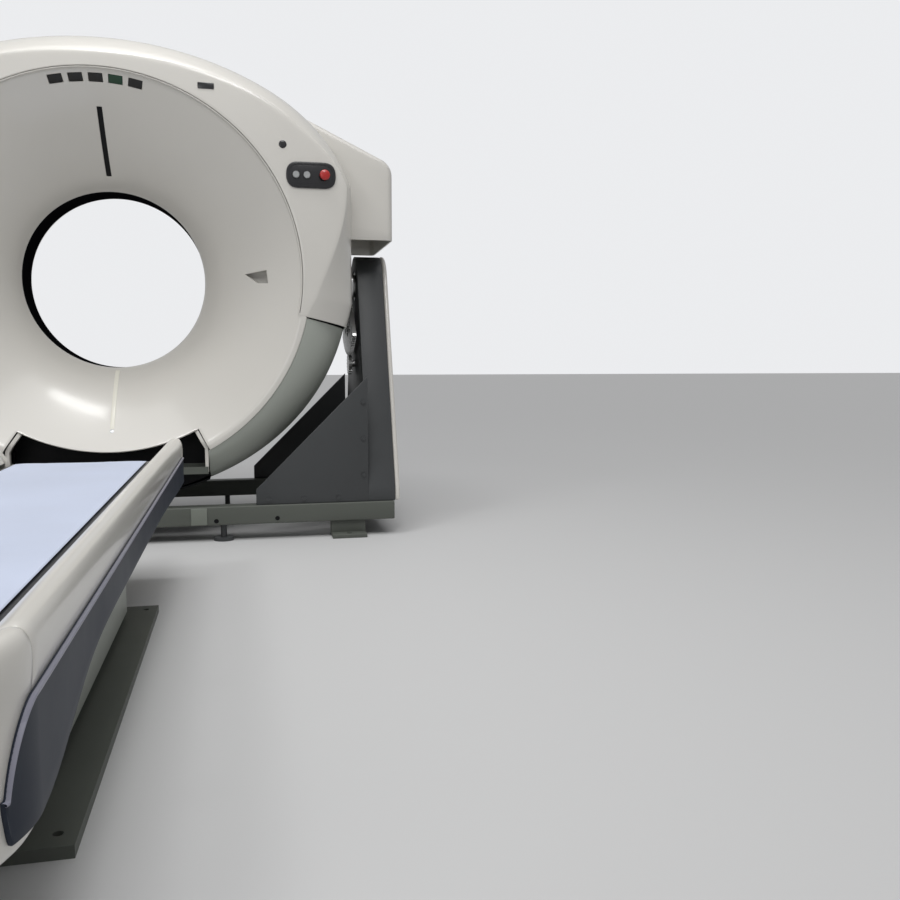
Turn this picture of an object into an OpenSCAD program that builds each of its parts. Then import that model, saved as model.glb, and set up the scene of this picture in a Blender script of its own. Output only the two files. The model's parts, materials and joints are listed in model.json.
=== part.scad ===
// Medical imaging gantry with a tilting ring housing and its patient couch.
// X is right, Y runs along the scan axis away from the couch, Z is up.
// The origin lies on the floor under the isocentre. Every size is in millimetres.

/* [Gantry housing] */
// Height of the scan axis above the floor
iso_h = 1050; // [1000:5:1250]
// Diameter of the patient bore
bore_d = 720; // [600:5:800]
// Length of the straight throat between the two funnels
throat_len = 170; // [120:5:220]
// Distance from the front face to the rear face of the housing
gantry_d = 920; // [860:5:1120]
// Diameter of the bowl's edge in the front face
bowl_d = 1480; // [1360:5:1520]
// Diameter of the rear funnel's edge
rear_bowl_d = 1040; // [980:5:1050]
// How the funnels flare, 1 is a straight cone and more opens later, like a trumpet
flare_power = 1.3; // [1:0.05:1.6]
// Height of the housing's crown above the scan axis
crown_h = 895; // [885:5:960]
// Half width that the crown's ellipse would reach at the scan axis
crown_half_w = 1120; // [1060:5:1180]
// Half height of the housing below the scan axis
belly_h = 885; // [875:5:910]
// Half width of the housing's flat sides
side_half_w = 957; // [955:1:1000]
// Length of the straight drum between the front and rear bevels
drum_len = 600; // [560:5:640]
// Wall of the moulded covers
skin = 6; // [4:0.5:8]
// Depth of the step between the bowl and the front face
edge_step = 10; // [4:1:14]

/* [Couch notch] */
// Radius of the notch's top edge about the scan axis
notch_r = 685; // [670:5:700]
// Half width of the notch at its top edge
notch_half_w = 330; // [300:5:345]
// Half width of the notch at the belly
notch_foot_half_w = 370; // [360:5:385]

/* [Shoulders and stands] */
// Half width over the shoulders, the gantry's overall half width
shoulder_half_w = 1135; // [1130:1:1240]
// Height of the shoulder's underside above the scan axis
shoulder_low = 170; // [165:1:190]
// Width of each side stand
stand_w = 112; // [104:1:130]
// Gap between the housing's side and a stand
stand_gap = 46; // [40:1:70]
// Half depth of a stand at the floor frame
stand_half_d = 430; // [400:5:440]
// Radius of a tilt bearing's housing
tilt_housing_r = 130; // [110:1:135]
// Radius of a trunnion shaft
trunnion_r = 50; // [40:1:60]
// Radial running clearance of shafts in bearings
run_clear = 0.06; // [0.02:0.01:0.1]

/* [Floor frame] */
// Height of the frame's underside above the floor
frame_low = 65; // [50:1:90]
// Height of the frame's beams
beam_h = 75; // [60:1:80]
// Depth of the front and rear beams
beam_d = 70; // [50:1:90]
// Distance between the floor anchors across the gantry
anchor_x = 1840; // [1700:10:1900]
// Distance between the floor anchors along the scan axis
anchor_y = 910; // [880:10:930]
// Radius of a floor anchor's hole
anchor_r = 11; // [8:0.5:14]

/* [Rotor] */
// Outer radius of the rotating frame
rotor_r = 785; // [740:5:790]
// Inner radius of the main bearing's rotating ring
bearing_bore_r = 485; // [480:1:500]
// Thickness of the rotating plate
rotor_plate = 40; // [25:1:60]
// Distance from the scan plane to the rotating plate's front
rotor_y = 150; // [140:5:160]

/* [Tilt drive] */
// Teeth that a full circle of the tilt sector would have
sector_teeth = 120; // [100:4:140]
// Teeth of the tilt pinion
pinion_teeth = 18; // [14:1:24]
// Module of the tilt gears
gear_module = 5; // [4:0.5:5.5]
// Play cut from each tooth flank
flank_play = 0.35; // [0.2:0.05:0.6]

/* [Couch] */
// Length of the couch
couch_len = 2330; // [2100:10:2500]
// Half width of the couch over its rails
couch_half_w = 313; // [290:1:330]
// Distance from the scan plane to the couch's end
couch_gap = 1000; // [960:5:1100]
// Height of the rails' crown above the floor, lift at its lower stop
rail_h = 466; // [450:1:520]
// Half width of the sliding top
top_half_w = 213; // [200:1:215]
// Room between the sliding top's end and the tail's moulding
tail_room = 117; // [100:1:180]
// Travel of the lift
lift_travel = 530; // [480:5:530]
// Wall of the telescoping skirts
skirt_wall = 5; // [4:0.5:6]
// Play between two neighbouring skirts
skirt_play = 0.6; // [0.4:0.1:1]
// Thickness of the mat
mat_t = 26; // [16:1:30]
// Radius of the rollers under the sliding top
roller_r = 20; // [16:1:24]

/* [Hidden] */
$fn = 96;
seat = 0.3;
small = 0.01;
IVORY = [0.86, 0.84, 0.79];
GREY = [0.58, 0.6, 0.56];
DARK = [0.2, 0.21, 0.22];
SLATE = [0.22, 0.26, 0.31];
STEEL = [0.62, 0.64, 0.65];
BLACK = [0.05, 0.05, 0.06];

bore_r = bore_d / 2;
bowl_r = bowl_d / 2;
rear_bowl_r = rear_bowl_d / 2;
throat_y = throat_len / 2;
face_y = gantry_d / 2;
drum_y = drum_len / 2;
bevel = face_y - drum_y;
bowl_face_y = face_y - edge_step;

// Blends from 0 at the low value to 1 at the high value
function ease(x, low, high) = let (t = max(0, min(1, (x - low) / (high - low)))) t * t * (3 - 2 * t);
function folded(a) = a > 90 ? 180 - a : a;
function ellipse_r(a, w, h) = 1 / sqrt(pow(cos(a) / w, 2) + pow(sin(a) / h, 2));
// Radius of the housing's outline at an angle from +X, alike on both sides
function outline_r(angle) =
  let (a = folded(angle), mix = ease(a, -15, 50))
  min(
    (1 - mix) * ellipse_r(a, side_half_w - 2, belly_h) + mix * ellipse_r(a, crown_half_w, crown_h),
    side_half_w / max(cos(a), small)
  );
// How far the front face's edge stands inside the outline
function face_inset(angle) =
  let (a = folded(angle))
  a < 20
    ? (1 - ease(a, -14, 20)) * lerp(outline_r(-90) - lower_face_r, outline_r(-14) - lower_face_r, ease(a, -90, -14)) + ease(a, -14, 20) * 34
    : a < 40 ? lerp(34, 72, ease(a, 20, 40))
    : lerp(72, 95, ease(a, 40, 90));
function lerp(a, b, t) = a + (b - a) * t;
function face_r(a) = outline_r(a) - face_inset(a);
function flare(s, from, to) = from + (to - from) * pow(s, flare_power);
function angles(a0, a1, step) = let (n = ceil((a1 - a0) / step)) [for (i = [0:n]) lerp(a0, a1, i / n)];
function outline(a0, a1, step, grow = 0) =
  [for (a = angles(a0, a1, step)) (outline_r(a) + grow) * [cos(a), sin(a)]];
function reversed(v) = [for (i = [len(v) - 1:-1:0]) v[i]];

module at_iso() {
  translate([0, 0, iso_h]) children();
}
// Extrudes an outline drawn in X and Z from one place along Y to another
module slab(y0, y1) {
  translate([0, y1, 0]) rotate([90, 0, 0]) linear_extrude(y1 - y0) children();
}
// Turns a profile of [radius, y] points about the scan axis
module spun(profile, fine = 180) {
  rotate([-90, 0, 0]) rotate_extrude($fn = fine) polygon(profile);
}
module ring(r_in, r_out, y0, y1) {
  spun([[r_in, y0], [r_out, y0], [r_out, y1], [r_in, y1]]);
}
module rod_y(r, y0, y1) {
  translate([0, y0, 0]) rotate([-90, 0, 0]) cylinder(r = r, h = y1 - y0);
}
module rod_x(r, x0, x1) {
  translate([x0, 0, 0]) rotate([0, 90, 0]) cylinder(r = r, h = x1 - x0);
}
module both_sides() {
  children();
  mirror([1, 0, 0]) children();
}
module side(s) {
  if (s > 0) children(); else mirror([1, 0, 0]) children();
}
module box(low, high) {
  translate(low) cube(high - low);
}
function signed_area(v) = let (n = len(v))
  sum([for (i = [0:n - 1]) v[i][0] * v[(i + 1) % n][1] - v[(i + 1) % n][0] * v[i][1]]) / 2;
function sum(v) = [for (i = 0, t = v[0]; i < len(v); i = i + 1, t = t + (i < len(v) ? v[i] : 0)) t][len(v) - 1];
// Joins outlines of 3-D points, alike in number and each clockwise seen along the way, into one skin
module loft(outlines, closed = false) {
  n = len(outlines);
  m = len(outlines[0]);
  walls = [for (i = [0:n - (closed ? 1 : 2)]) for (j = [0:m - 1])
    let (k = (i + 1) % n, a = i * m + j, b = i * m + (j + 1) % m, c = k * m + (j + 1) % m, d = k * m + j)
    each [[a, b, c], [a, c, d]]];
  first = [for (j = [m - 1:-1:0]) j];
  last = [for (j = [0:m - 1]) (n - 1) * m + j];
  polyhedron([for (o = outlines) each o], concat(walls, closed ? [] : [first, last]));
}
// Joins sections of [radius, y] points, one at each angle about the scan axis
module skin_sector(turns, sections, closed = false) {
  flip = signed_area(sections[0]) > 0;
  loft([for (i = [0:len(turns) - 1]) let (v = flip ? reversed(sections[i]) : sections[i])
    [for (p = v) [p[0] * cos(turns[i]), p[1], p[0] * sin(turns[i])]]], closed);
}

// Covers of the tilting housing

// Profile of one funnel's inner face, from the throat out to its edge
function funnel(edge_r, edge_y, side, grow = 0, steps = 14) =
  [for (i = [0:steps]) let (s = i / steps)
    [flare(s, bore_r, edge_r) + grow, side * lerp(throat_y, edge_y, s)]];
// The funnel's shell, its edge step and the flat ring round it as one turned piece
module funnel_shell(edge_r, edge_y, side, flat_r, lip) {
  face = side * face_y;
  behind = side * (face_y - skin);
  spun(concat(funnel(edge_r, edge_y, side), [[edge_r, face], [flat_r, face], [flat_r, side * (face_y - lip)],
    [flat_r - skin, side * (face_y - lip)], [flat_r - skin, behind], [edge_r + skin, behind]],
    reversed(funnel(edge_r, edge_y, side, skin))));
}
// Section of the bevelled face ring at one angle
function bevel_section(a, inner_r, side, edge) =
  let (r = outline_r(a), f = min(face_r(a), r - 20))
  [[inner_r, side * face_y], [f - 14, side * face_y], [f - 4, side * (face_y - 3)], [f, side * (face_y - 12)],
   [lerp(f, r, 0.55), side * (face_y - bevel * 0.4)], [lerp(f, r, 0.88), side * (face_y - bevel * 0.75)],
   [r, side * edge], [r - skin, side * edge], [lerp(f, r, 0.88) - skin, side * (face_y - bevel * 0.75 - 2)],
   [lerp(f, r, 0.55) - skin, side * (face_y - bevel * 0.4 - 4)], [f - skin - 4, side * (face_y - 15)],
   [f - 16, side * (face_y - skin)], [inner_r, side * (face_y - skin)]];
// Flat ring of the lower face, inside the grey lower covers
lower_face_r = bowl_r + 38;
split_a = -12;
notch_a = asin(notch_foot_half_w / belly_h);

module notch_cut() {
  slab(-face_y - 1, -face_y + 170) difference() {
    polygon([[-notch_half_w, -540], [notch_half_w, -540], [notch_half_w, -notch_r * 0.88],
      [notch_foot_half_w - 2, -notch_r * 0.98], [notch_foot_half_w, -belly_h - 20],
      [-notch_foot_half_w, -belly_h - 20], [-notch_foot_half_w + 2, -notch_r * 0.98],
      [-notch_half_w, -notch_r * 0.88]]);
    circle(r = notch_r, $fn = 180);
  }
}
// The bowl with the flat ring round its lower half, where the grey covers begin
rim_r = bowl_r + 7;
module front_cover() {
  color(IVORY) at_iso() difference() {
    funnel_shell(bowl_r, bowl_face_y, -1, lower_face_r, 22);
    slab(-face_y - 1, -face_y + 30) difference() {
      polygon([[0, 0], 1500 * [cos(split_a), sin(split_a)], [1500, 1500], [-1500, 1500],
        1500 * [-cos(split_a), sin(split_a)]]);
      circle(r = rim_r, $fn = 180);
    }
    notch_cut();
    windows_at(window_pocket = 0);
    slab(-face_y - 1, 0) translate([-laser_half_w, laser_r0]) square([2 * laser_half_w, laser_r1 - laser_r0]);
    both_sides() grip_place() slab(-30, 27) grip_outline(1);
  }
}
// The bevelled ring round the bowl's upper half
module face_ring() {
  turns = angles(split_a + 0.2, 179.8 - split_a, 5);
  color(IVORY) at_iso() difference() {
    skin_sector(turns, [for (a = turns) bevel_section(a, rim_r + 1.3, -1, drum_y)]);
    both_sides() panel_place() slab(-1, skin + 30) panel_outline(-10);
  }
}
module rear_cover() {
  color(IVORY) at_iso() {
    funnel_shell(rear_bowl_r, face_y - 4, 1, rear_flat_r, 10);
    difference() {
      rear_bevel();
      rod_y(rear_flat_r + seat, face_y - 20, face_y + 1);
      rear_vents();
    }
  }
}
rear_inset = 125;
rear_flat_r = rear_bowl_r + 40;
// The rear face round the funnel's flange and its bevelled rim, which reaches back to the drum all round
module rear_bevel() {
  turns = [for (i = [0:71]) i * 5 - 90];
  skin_sector(turns, [for (a = turns)
    let (r = outline_r(a), f = r - rear_inset, g = f + 30)
    [[rear_flat_r - 10, face_y], [f, face_y], [g, face_y - 4], [lerp(g, r, 0.6), face_y - bevel * 0.35],
     [lerp(g, r, 0.93), face_y - bevel * 0.75], [r, drum_y], [r - skin, drum_y],
     [lerp(g, r, 0.93) - skin, face_y - bevel * 0.75 - 2], [lerp(g, r, 0.6) - skin, face_y - bevel * 0.35 - 4],
     [g - 4, face_y - skin - 4], [f, face_y - skin], [rear_flat_r - 10, face_y - skin]]], closed = true);
}
module rear_vents() {
  for (s = [-1, 1]) for (i = [0:8]) translate([s * 660, 0, 120 + i * 24])
    box([-80, face_y - 20, 0], [80, face_y + 20, 10]);
}
module top_cover() {
  color(IVORY) at_iso() slab(-drum_y, drum_y)
    polygon(concat(outline(seam_a, 180 - seam_a, 4), reversed(outline(seam_a, 180 - seam_a, 4, -skin))));
}

// Shoulders: the wide upper corners behind the face ring
seam_a = 40;
shoulder_y = drum_y - 14;
shoulder_start = outline_r(seam_a) * [cos(seam_a), sin(seam_a)];
shoulder_slope = 0.535;
shoulder_round = 75;
// The wing's outline, and with a wall its hollow, which is open below
function shoulder_outline(wall) =
  let (x0 = shoulder_start[0] + 22, z0 = shoulder_start[1] + 1, bend = shoulder_half_w - shoulder_round,
    zb = z0 - (bend - x0) * shoulder_slope, r = shoulder_round - wall, low = shoulder_low - (wall > 0 ? 1 : 0))
  concat(
    [[x0 - 22 - 150, low], [x0 - 22, z0 - 90], [x0 - 22 + wall, z0 - wall * 1.3], [x0, z0 - wall * 1.13]],
    [for (i = [0:6]) let (t = lerp(90 - atan(shoulder_slope), 0, i / 6))
      [bend, zb - shoulder_round * cos(atan(shoulder_slope))] + r * [cos(t), sin(t)]],
    [[shoulder_half_w - wall, low]]
  );
module shoulder(s) {
  band = angles(atan(shoulder_low / side_half_w), seam_a, 4);
  inner_x0 = shoulder_start[0] + 22 + skin;
  color(IVORY) at_iso() side(s) {
    slab(-drum_y, drum_y) polygon(concat(
      [for (a = band) outline_r(a) * [cos(a), sin(a)]],
      reversed([for (a = band) (outline_r(a) - skin) * [cos(a), sin(a)]])));
    difference() {
      slab(-shoulder_y, shoulder_y) difference() {
        polygon(shoulder_outline(0));
        drum_blank();
      }
      slab(-shoulder_y + skin, shoulder_y - skin) difference() {
        polygon(shoulder_outline(skin));
        drum_blank();
      }
    }
  }
}
module drum_blank() {
  polygon(concat([[0, 0]], outline(-20, 70, 3, -skin / 2)));
}
module shoulder_left() { shoulder(-1); }
module shoulder_right() { shoulder(1); }

// Grey lower covers: the bevel and the drum's side from the shoulder down to the notch
module lower_cover(s) {
  low_a = -90 + notch_a - 4;
  turns = angles(low_a, split_a, 4);
  side_turns = angles(low_a, atan(shoulder_low / side_half_w), 4);
  color(GREY) at_iso() side(s) difference() {
    union() {
      skin_sector(turns, [for (a = turns) let (r = outline_r(a), f = lower_face_r + 0.6)
        [[f, -face_y + 8], [lerp(f, r, 0.62), -face_y + bevel * 0.42], [lerp(f, r, 0.9), -face_y + bevel * 0.8],
         [r, -drum_y + 100], [r, -drum_y + 130], [r - skin, -drum_y + 130], [r - skin, -drum_y + 100],
         [lerp(f, r, 0.9) - skin, -face_y + bevel * 0.8 + 3], [lerp(f, r, 0.62) - skin, -face_y + bevel * 0.42 + 4],
         [f, -face_y + 8 + skin]]]);
      slab(-drum_y + 110, drum_y) polygon(concat(
        [for (a = side_turns) outline_r(a) * [cos(a), sin(a)]],
        reversed([for (a = side_turns) (outline_r(a) - skin) * [cos(a), sin(a)]])));
      slab(-drum_y, -drum_y + 115) polygon(concat(
        [for (a = angles(split_a, atan(shoulder_low / side_half_w), 4)) outline_r(a) * [cos(a), sin(a)]],
        reversed([for (a = angles(split_a, atan(shoulder_low / side_half_w), 4)) (outline_r(a) - skin) * [cos(a), sin(a)]])));
    }
    box([-50, -face_y, -1000], [notch_foot_half_w + 1, drum_y + 1, 0]);
    rod_x(tilt_flange_r - 20, side_half_w - 60, side_half_w + 20);
  }
}
module lower_cover_left() { lower_cover(-1); }
module lower_cover_right() { lower_cover(1); }

// Black recess behind the notch, and the dark belly under it
liner_x = notch_foot_half_w - 2;
function bowl_back(r) = bowl_y(r - skin) + seat;
module notch_liner() {
  color(BLACK) at_iso() difference() {
    union() {
      intersection() {
        ring(notch_r - 4, notch_r, bowl_back(notch_r - 4), -drum_y + 4);
        box([-notch_half_w, -face_y, -notch_r - 10], [notch_half_w, 0, -500]);
      }
      intersection() {
        ring(notch_r - 4, belly_h - skin - seat, -drum_y, -drum_y + 4);
        box([-liner_x, -face_y, -1000], [liner_x, 0, -500]);
      }
      slab(-drum_y, drum_y) intersection() {
        polygon(concat(outline(-120, -60, 4), reversed(outline(-120, -60, 4, -skin))));
        translate([-liner_x, -1000]) square([2 * liner_x, 500]);
      }
      both_sides() box([liner_x - 4, -drum_y - 30, -belly_h + 90], [liner_x, -drum_y + 4, -notch_r]);
    }
  }
}
sill_h = 28;
sill_z = 2 - lower_face_r;
module notch_sill() {
  color(STEEL) at_iso() difference() {
    box([-liner_x, -face_y + 14, sill_z], [liner_x, -drum_y - seat, sill_z + sill_h]);
    box([-liner_x - 1, -face_y + 14 + skin, sill_z + skin], [liner_x + 1, -drum_y - skin, sill_z + sill_h + 1]);
    both_sides() box([liner_x - 4 - seat, -drum_y - 31, sill_z - 4], [liner_x + 5, -drum_y + 4, sill_z + sill_h + 8]);
  }
}
module scan_window() {
  color(BLACK) at_iso() ring(bore_r, bore_r + skin - 1, -throat_y + seat, throat_y - seat);
}

// Small pieces in the bowl and on the face
window_w = 50;
window_h = 33;
window_pitch = 70;
window_count = 5;
window_r = 714;
laser_half_w = 10;
laser_r0 = 407;
laser_r1 = 627;
trim_half_w = 8;
bowl_table = [for (p = funnel(bowl_r, bowl_face_y, -1)) [p[0], p[1]]];
function bowl_y(r) = lookup(r, bowl_table);
bowl_slope = atan2(bowl_y(window_r) - bowl_y(window_r + 10), 10);

module windows_at(window_pocket) {
  for (i = [0:window_count - 1]) let (x = (i - (window_count - 1) / 2) * window_pitch, a = asin(x / window_r))
    rotate([0, a, 0]) translate([0, bowl_y(window_r), window_r]) rotate([bowl_slope, 0, 0])
      box([-window_w / 2 + window_pocket, -3 + (window_pocket > 0 ? 2 : -20), -window_h / 2 + window_pocket],
        [window_w / 2 - window_pocket, 14 + (window_pocket > 0 ? -4 : 20), window_h / 2 - window_pocket]);
}
module indicator_windows() {
  color(BLACK) at_iso() windows_at(seat);
}
// A strip that follows the bowl, standing off its face by the two heights
module bowl_strip(half_w, r0, r1, low, high) {
  face = [for (r = concat([r0], [for (p = bowl_table) if (p[0] > r0 && p[0] < r1) p[0]], [r1])) [r, bowl_y(r)]];
  intersection() {
    spun(concat([for (p = face) [p[0], p[1] - high]], reversed([for (p = face) [p[0], p[1] - low]])));
    box([-half_w, -face_y, 0], [half_w, 0, bowl_r]);
  }
}
module laser_window() {
  color(BLACK) at_iso() bowl_strip(laser_half_w - seat, laser_r0 + 1, laser_r1 - 1, -9, -3);
}
module bowl_trim() {
  color(IVORY) at_iso() mirror([0, 0, 1]) bowl_strip(trim_half_w, bore_r + 12, 618, seat, 3);
}
grip_x = 570;
module grip_place() {
  translate([grip_x, bowl_y(grip_x), 4]) rotate([0, 0, atan2(bowl_y(grip_x + 10) - bowl_y(grip_x), 10)]) children();
}
module grip_outline(share) {
  polygon(share * [[-60, 14], [52, 27], [58, -26], [4, -24]]);
}
module grip_recesses() {
  color(IVORY) at_iso() both_sides() grip_place() difference() {
    slab(0, 26) grip_outline(0.985);
    translate([0, -18, 6]) rotate([0, 4, 0]) rod_x(30, -46, 46);
  }
}
module screw_caps() {
  color(DARK) at_iso() both_sides() for (p = [[678, 501], [396, 701]])
    if (p[0] > 500) translate([p[0], 0, p[1]]) rod_y(15, -face_y - 3, -face_y - seat);
    else box([p[0] - 31, -face_y - 2, p[1] - 12], [p[0] + 31, -face_y - seat, p[1] + 12]);
}

// Control panels with sprung keys and a stop button
panel_x = 785;
panel_z = 388;
panel_half_w = 96;
panel_half_h = 50;
key_r = 13;
key_travel = 3;
key_pitch = 42;
stop_r = 20;
stop_travel = 5;
module panel_place() {
  translate([panel_x, -face_y, panel_z]) children();
}
module panel_outline(grow) {
  hull() for (s = [-1, 1]) translate([s * (panel_half_w - panel_half_h), 0]) circle(r = panel_half_h + grow, $fn = 48);
}
function key_x(i) = -58 + (i - 1) * key_pitch;
stop_x = 52;
module panel(s) {
  color(DARK) at_iso() side(s) panel_place() difference() {
    union() {
      slab(-8, -seat) panel_outline(0);
      slab(-seat, 26) panel_outline(-10 - seat);
    }
    for (i = [1, 2]) translate([key_x(i), 0, 0]) rod_y(key_r + 0.5, -20, 14);
    translate([stop_x, 0, 0]) rod_y(9, -20, 20);
  }
}
module panel_left() { panel(-1); }
module panel_right() { panel(1); }
module key_piece(s, i) {
  color(STEEL) at_iso() side(s) panel_place() translate([key_x(i), 0, 0]) union() {
    rod_y(key_r, -12, 14 - key_travel - 0.5);
  }
}
module key_left_1() { key_piece(-1, 1); }
module key_left_2() { key_piece(-1, 2); }
module key_right_1() { key_piece(1, 1); }
module key_right_2() { key_piece(1, 2); }
module estop(s) {
  color([0.75, 0.1, 0.08]) at_iso() side(s) panel_place() translate([stop_x, 0, 0])
    spun([[0, -30], [14, -30], [stop_r, -26], [stop_r, -20], [8.5, -8 - stop_travel - 0.6],
      [8.5, 20 - stop_travel - 0.6], [0, 20 - stop_travel - 0.6]], 48);
}
module estop_left() { estop(-1); }
module estop_right() { estop(1); }

// Tilting frame, its trunnions and the tilt drive
cheek_x = side_half_w - 155;
cheek_half_h = 150;
cheek_out_x = side_half_w - skin - 18;
plate_y = rotor_y + rotor_plate + 50;
frame_plate = 70;
frame_r = belly_h - 50;
tilt_flange_r = 100;
stand_x = side_half_w + stand_gap;
stand_out_x = stand_x + stand_w;
module tilt_frame() {
  hub_in = bearing_bore_r + 70;
  hub_out = bearing_bore_r + 130;
  color(STEEL) at_iso() difference() {
    union() {
      ring(hub_in, frame_r, plate_y, plate_y + 20);
      ring(hub_in, hub_out, plate_y, plate_y + frame_plate);
      ring(frame_r - 40, frame_r, plate_y, plate_y + frame_plate);
      for (a = [0:15:345]) rotate([0, a, 0])
        box([hub_out - 10, plate_y + 10, -6], [frame_r - 30, plate_y + frame_plate, 6]);
      both_sides() difference() {
        box([cheek_x, -120, -cheek_half_h], [cheek_out_x, plate_y + frame_plate, cheek_half_h]);
        box([cheek_x + 25, -95, -cheek_half_h + 25],
          [cheek_out_x - 25, plate_y + frame_plate - 25, cheek_half_h - 25]);
      }
      both_sides() rod_x(tilt_flange_r - 14, cheek_x + 10, side_half_w - skin - seat);
    }
    both_sides() rod_x(trunnion_r, cheek_x - 1, side_half_w);
  }
}
module trunnions() {
  color(STEEL) at_iso() both_sides() {
    rod_x(trunnion_r - 0.02, cheek_x, stand_out_x - 6);
    rod_x(tilt_flange_r, side_half_w + seat, side_half_w + 10);
  }
}

// Gear teeth with straight flanks rounded by a few points of an involute
function inv_point(rb, t) = rb * [cos(t) + t * PI / 180 * sin(t), sin(t) - t * PI / 180 * cos(t)];
module gear_outline(teeth, play, from, to) {
  rp = gear_module * teeth / 2;
  rb = rp * cos(20);
  ra = rp + gear_module * 0.92;
  rf = rp - gear_module * 1.2;
  turn_at = function(r) sqrt(max(pow(r / rb, 2) - 1, 0)) * 180 / PI;
  polar = function(t) let (p = inv_point(rb, t)) atan2(p[1], p[0]);
  half = 90 / teeth + polar(turn_at(rp)) - play / rp * 180 / PI;
  flank = [for (i = [0:4]) let (r = lerp(max(rb, rf), ra, i / 4)) [r, half - polar(turn_at(r))]];
  root = rb > rf ? [[rf, half]] : [];
  profile = concat([for (p = root) [p[0], -p[1]]], [for (f = flank) [f[0], -f[1]]], reversed(flank), root);
  teeth_points = [for (k = [from:to]) each [for (p = profile)
    p[0] * [cos(p[1] + k * 360 / teeth), sin(p[1] + k * 360 / teeth)]]];
  polygon(to - from < teeth - 1 ? concat(teeth_points, [[0, 0]]) : teeth_points);
}
sector_r = gear_module * sector_teeth / 2;
pinion_r = gear_module * pinion_teeth / 2;
sector_x = side_half_w + 14;
gear_w = 16;
sector_reach = ceil(sector_teeth * 40 / 360);
module across(x0, x1) {
  translate([x0, 0, 0]) rotate([90, 0, 90]) linear_extrude(x1 - x0) children();
}
module tilt_sector() {
  color(STEEL) at_iso() difference() {
    union() {
      across(sector_x, sector_x + gear_w) rotate(-90) gear_outline(sector_teeth, flank_play, -sector_reach, sector_reach);
      rod_x(tilt_flange_r - 10, side_half_w + 10 + seat, sector_x + gear_w + 2);
    }
    rod_x(trunnion_r + 0.02, side_half_w, sector_x + gear_w + 3);
    across(sector_x - 1, sector_x + gear_w + 1) for (a = [-22, 0, 22]) rotate(-90 + a)
      translate([190, 0]) circle(r = 34, $fn = 48);
  }
}
pinion_z = -(sector_r + pinion_r);
module tilt_pinion() {
  color(STEEL) at_iso() translate([0, 0, pinion_z]) {
    across(sector_x + 1, sector_x + gear_w - 1)
      rotate(90 + (pinion_teeth % 2 == 0 ? 180 / pinion_teeth : 0))
        gear_outline(pinion_teeth, flank_play, 0, pinion_teeth - 1);
    rod_x(15, sector_x + gear_w - 2, stand_x + 30);
  }
}
motor_r = 45;
module tilt_motor() {
  color(DARK) at_iso() translate([0, 0, pinion_z]) difference() {
    union() {
      rod_x(motor_r, stand_x + 8 + seat, stand_out_x - 12);
      box([stand_x + 8 + seat, -70, -30], [stand_x + 60, 70, 30]);
    }
    rod_x(15 + run_clear, stand_x, stand_x + 30 + 0.5);
  }
}

// Side stands: an A frame under each trunnion with gussets down to the floor frame
beam_top = frame_low + beam_h;
stand_z0 = beam_top - iso_h;
module stand_side_outline(inset) {
  hull() {
    circle(r = tilt_housing_r - inset, $fn = 96);
    translate([-stand_half_d + inset, stand_z0]) square([2 * (stand_half_d - inset), 60]);
  }
}
gusset_x = 550;
gusset_step = 62;
module stand(s) {
  color(DARK) at_iso() side(s) difference() {
    union() {
      difference() {
        across(stand_x, stand_out_x) stand_side_outline(0);
        across(stand_x + 8, stand_out_x + 1) stand_side_outline(8);
      }
      rod_x(trunnion_r + 26, stand_x, stand_x + 60);
      for (y = [-stand_half_d, stand_half_d - 12]) slab(y, y + 12)
        polygon([[gusset_x, stand_z0], [stand_x + 1, stand_z0], [stand_x + 1, stand_z0 + gusset_step + stand_x - gusset_x],
          [gusset_x, stand_z0 + gusset_step]]);
    }
    rod_x(trunnion_r + 16, stand_x - 1, stand_x + 61);
    translate([0, 0, pinion_z]) rod_x(24, stand_x - 1, stand_x + 9);
  }
}
module stand_left() { stand(-1); }
module stand_right() { stand(1); }
module tilt_bearings() {
  color(STEEL) at_iso() both_sides() difference() {
    rod_x(trunnion_r + 16 - 0.02, stand_x + 2, stand_x + 58);
    rod_x(trunnion_r - 0.02 + run_clear, stand_x, stand_x + 60);
  }
}
module stand_cover(s) {
  color(IVORY) at_iso() side(s) difference() {
    across(stand_out_x + seat, shoulder_half_w) stand_side_outline(-2);
    across(stand_out_x, shoulder_half_w - 5) stand_side_outline(4);
  }
}
module stand_cover_left() { stand_cover(-1); }
module stand_cover_right() { stand_cover(1); }

// Floor frame
beam_y = stand_half_d - beam_d / 2 + 10;
frame_half_x = stand_out_x - 4;
plate_x0 = 296;
plate_x1 = 358;
plate_t = 5;
// Holes in the front beam, as places in X and Z
beam_holes = [[393, beam_top - 58], [632, beam_top - 55]];
beam_hole_r = 8;
module each_anchor() {
  for (x = [-1, 1]) for (y = [-1, 1]) translate([x * anchor_x / 2, y * anchor_y / 2, 0])
    mirror([0, y < 0 ? 1 : 0, 0]) children();
}
module cross_beam(s, inset) {
  x = frame_half_x - inset;
  box([-x, s * beam_y - beam_d / 2 + inset, frame_low + inset], [x, s * beam_y + beam_d / 2 - inset, beam_top - inset]);
}
module base_frame() {
  front = -beam_y - beam_d / 2;
  color(STEEL) difference() {
    union() {
      for (s = [-1, 1]) cross_beam(s, 0);
      both_sides() box([stand_x - 60, -beam_y, frame_low], [frame_half_x, beam_y, beam_top]);
      both_sides() box([plate_x0, front - plate_t, frame_low + 4], [plate_x1, front + 1, beam_top - 4]);
      each_anchor() {
        box([-70, -80, 0], [70, 30, 16]);
        box([-70, -80, 0], [70, -30, frame_low + 1]);
      }
    }
    each_anchor() translate([0, 0, -1]) cylinder(r = anchor_r, h = 20);
    for (s = [-1, 1]) cross_beam(s, 6);
    both_sides() for (p = beam_holes) translate([p[0], 0, p[1]]) rod_y(beam_hole_r, front - 1, front + 7);
  }
}
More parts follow.
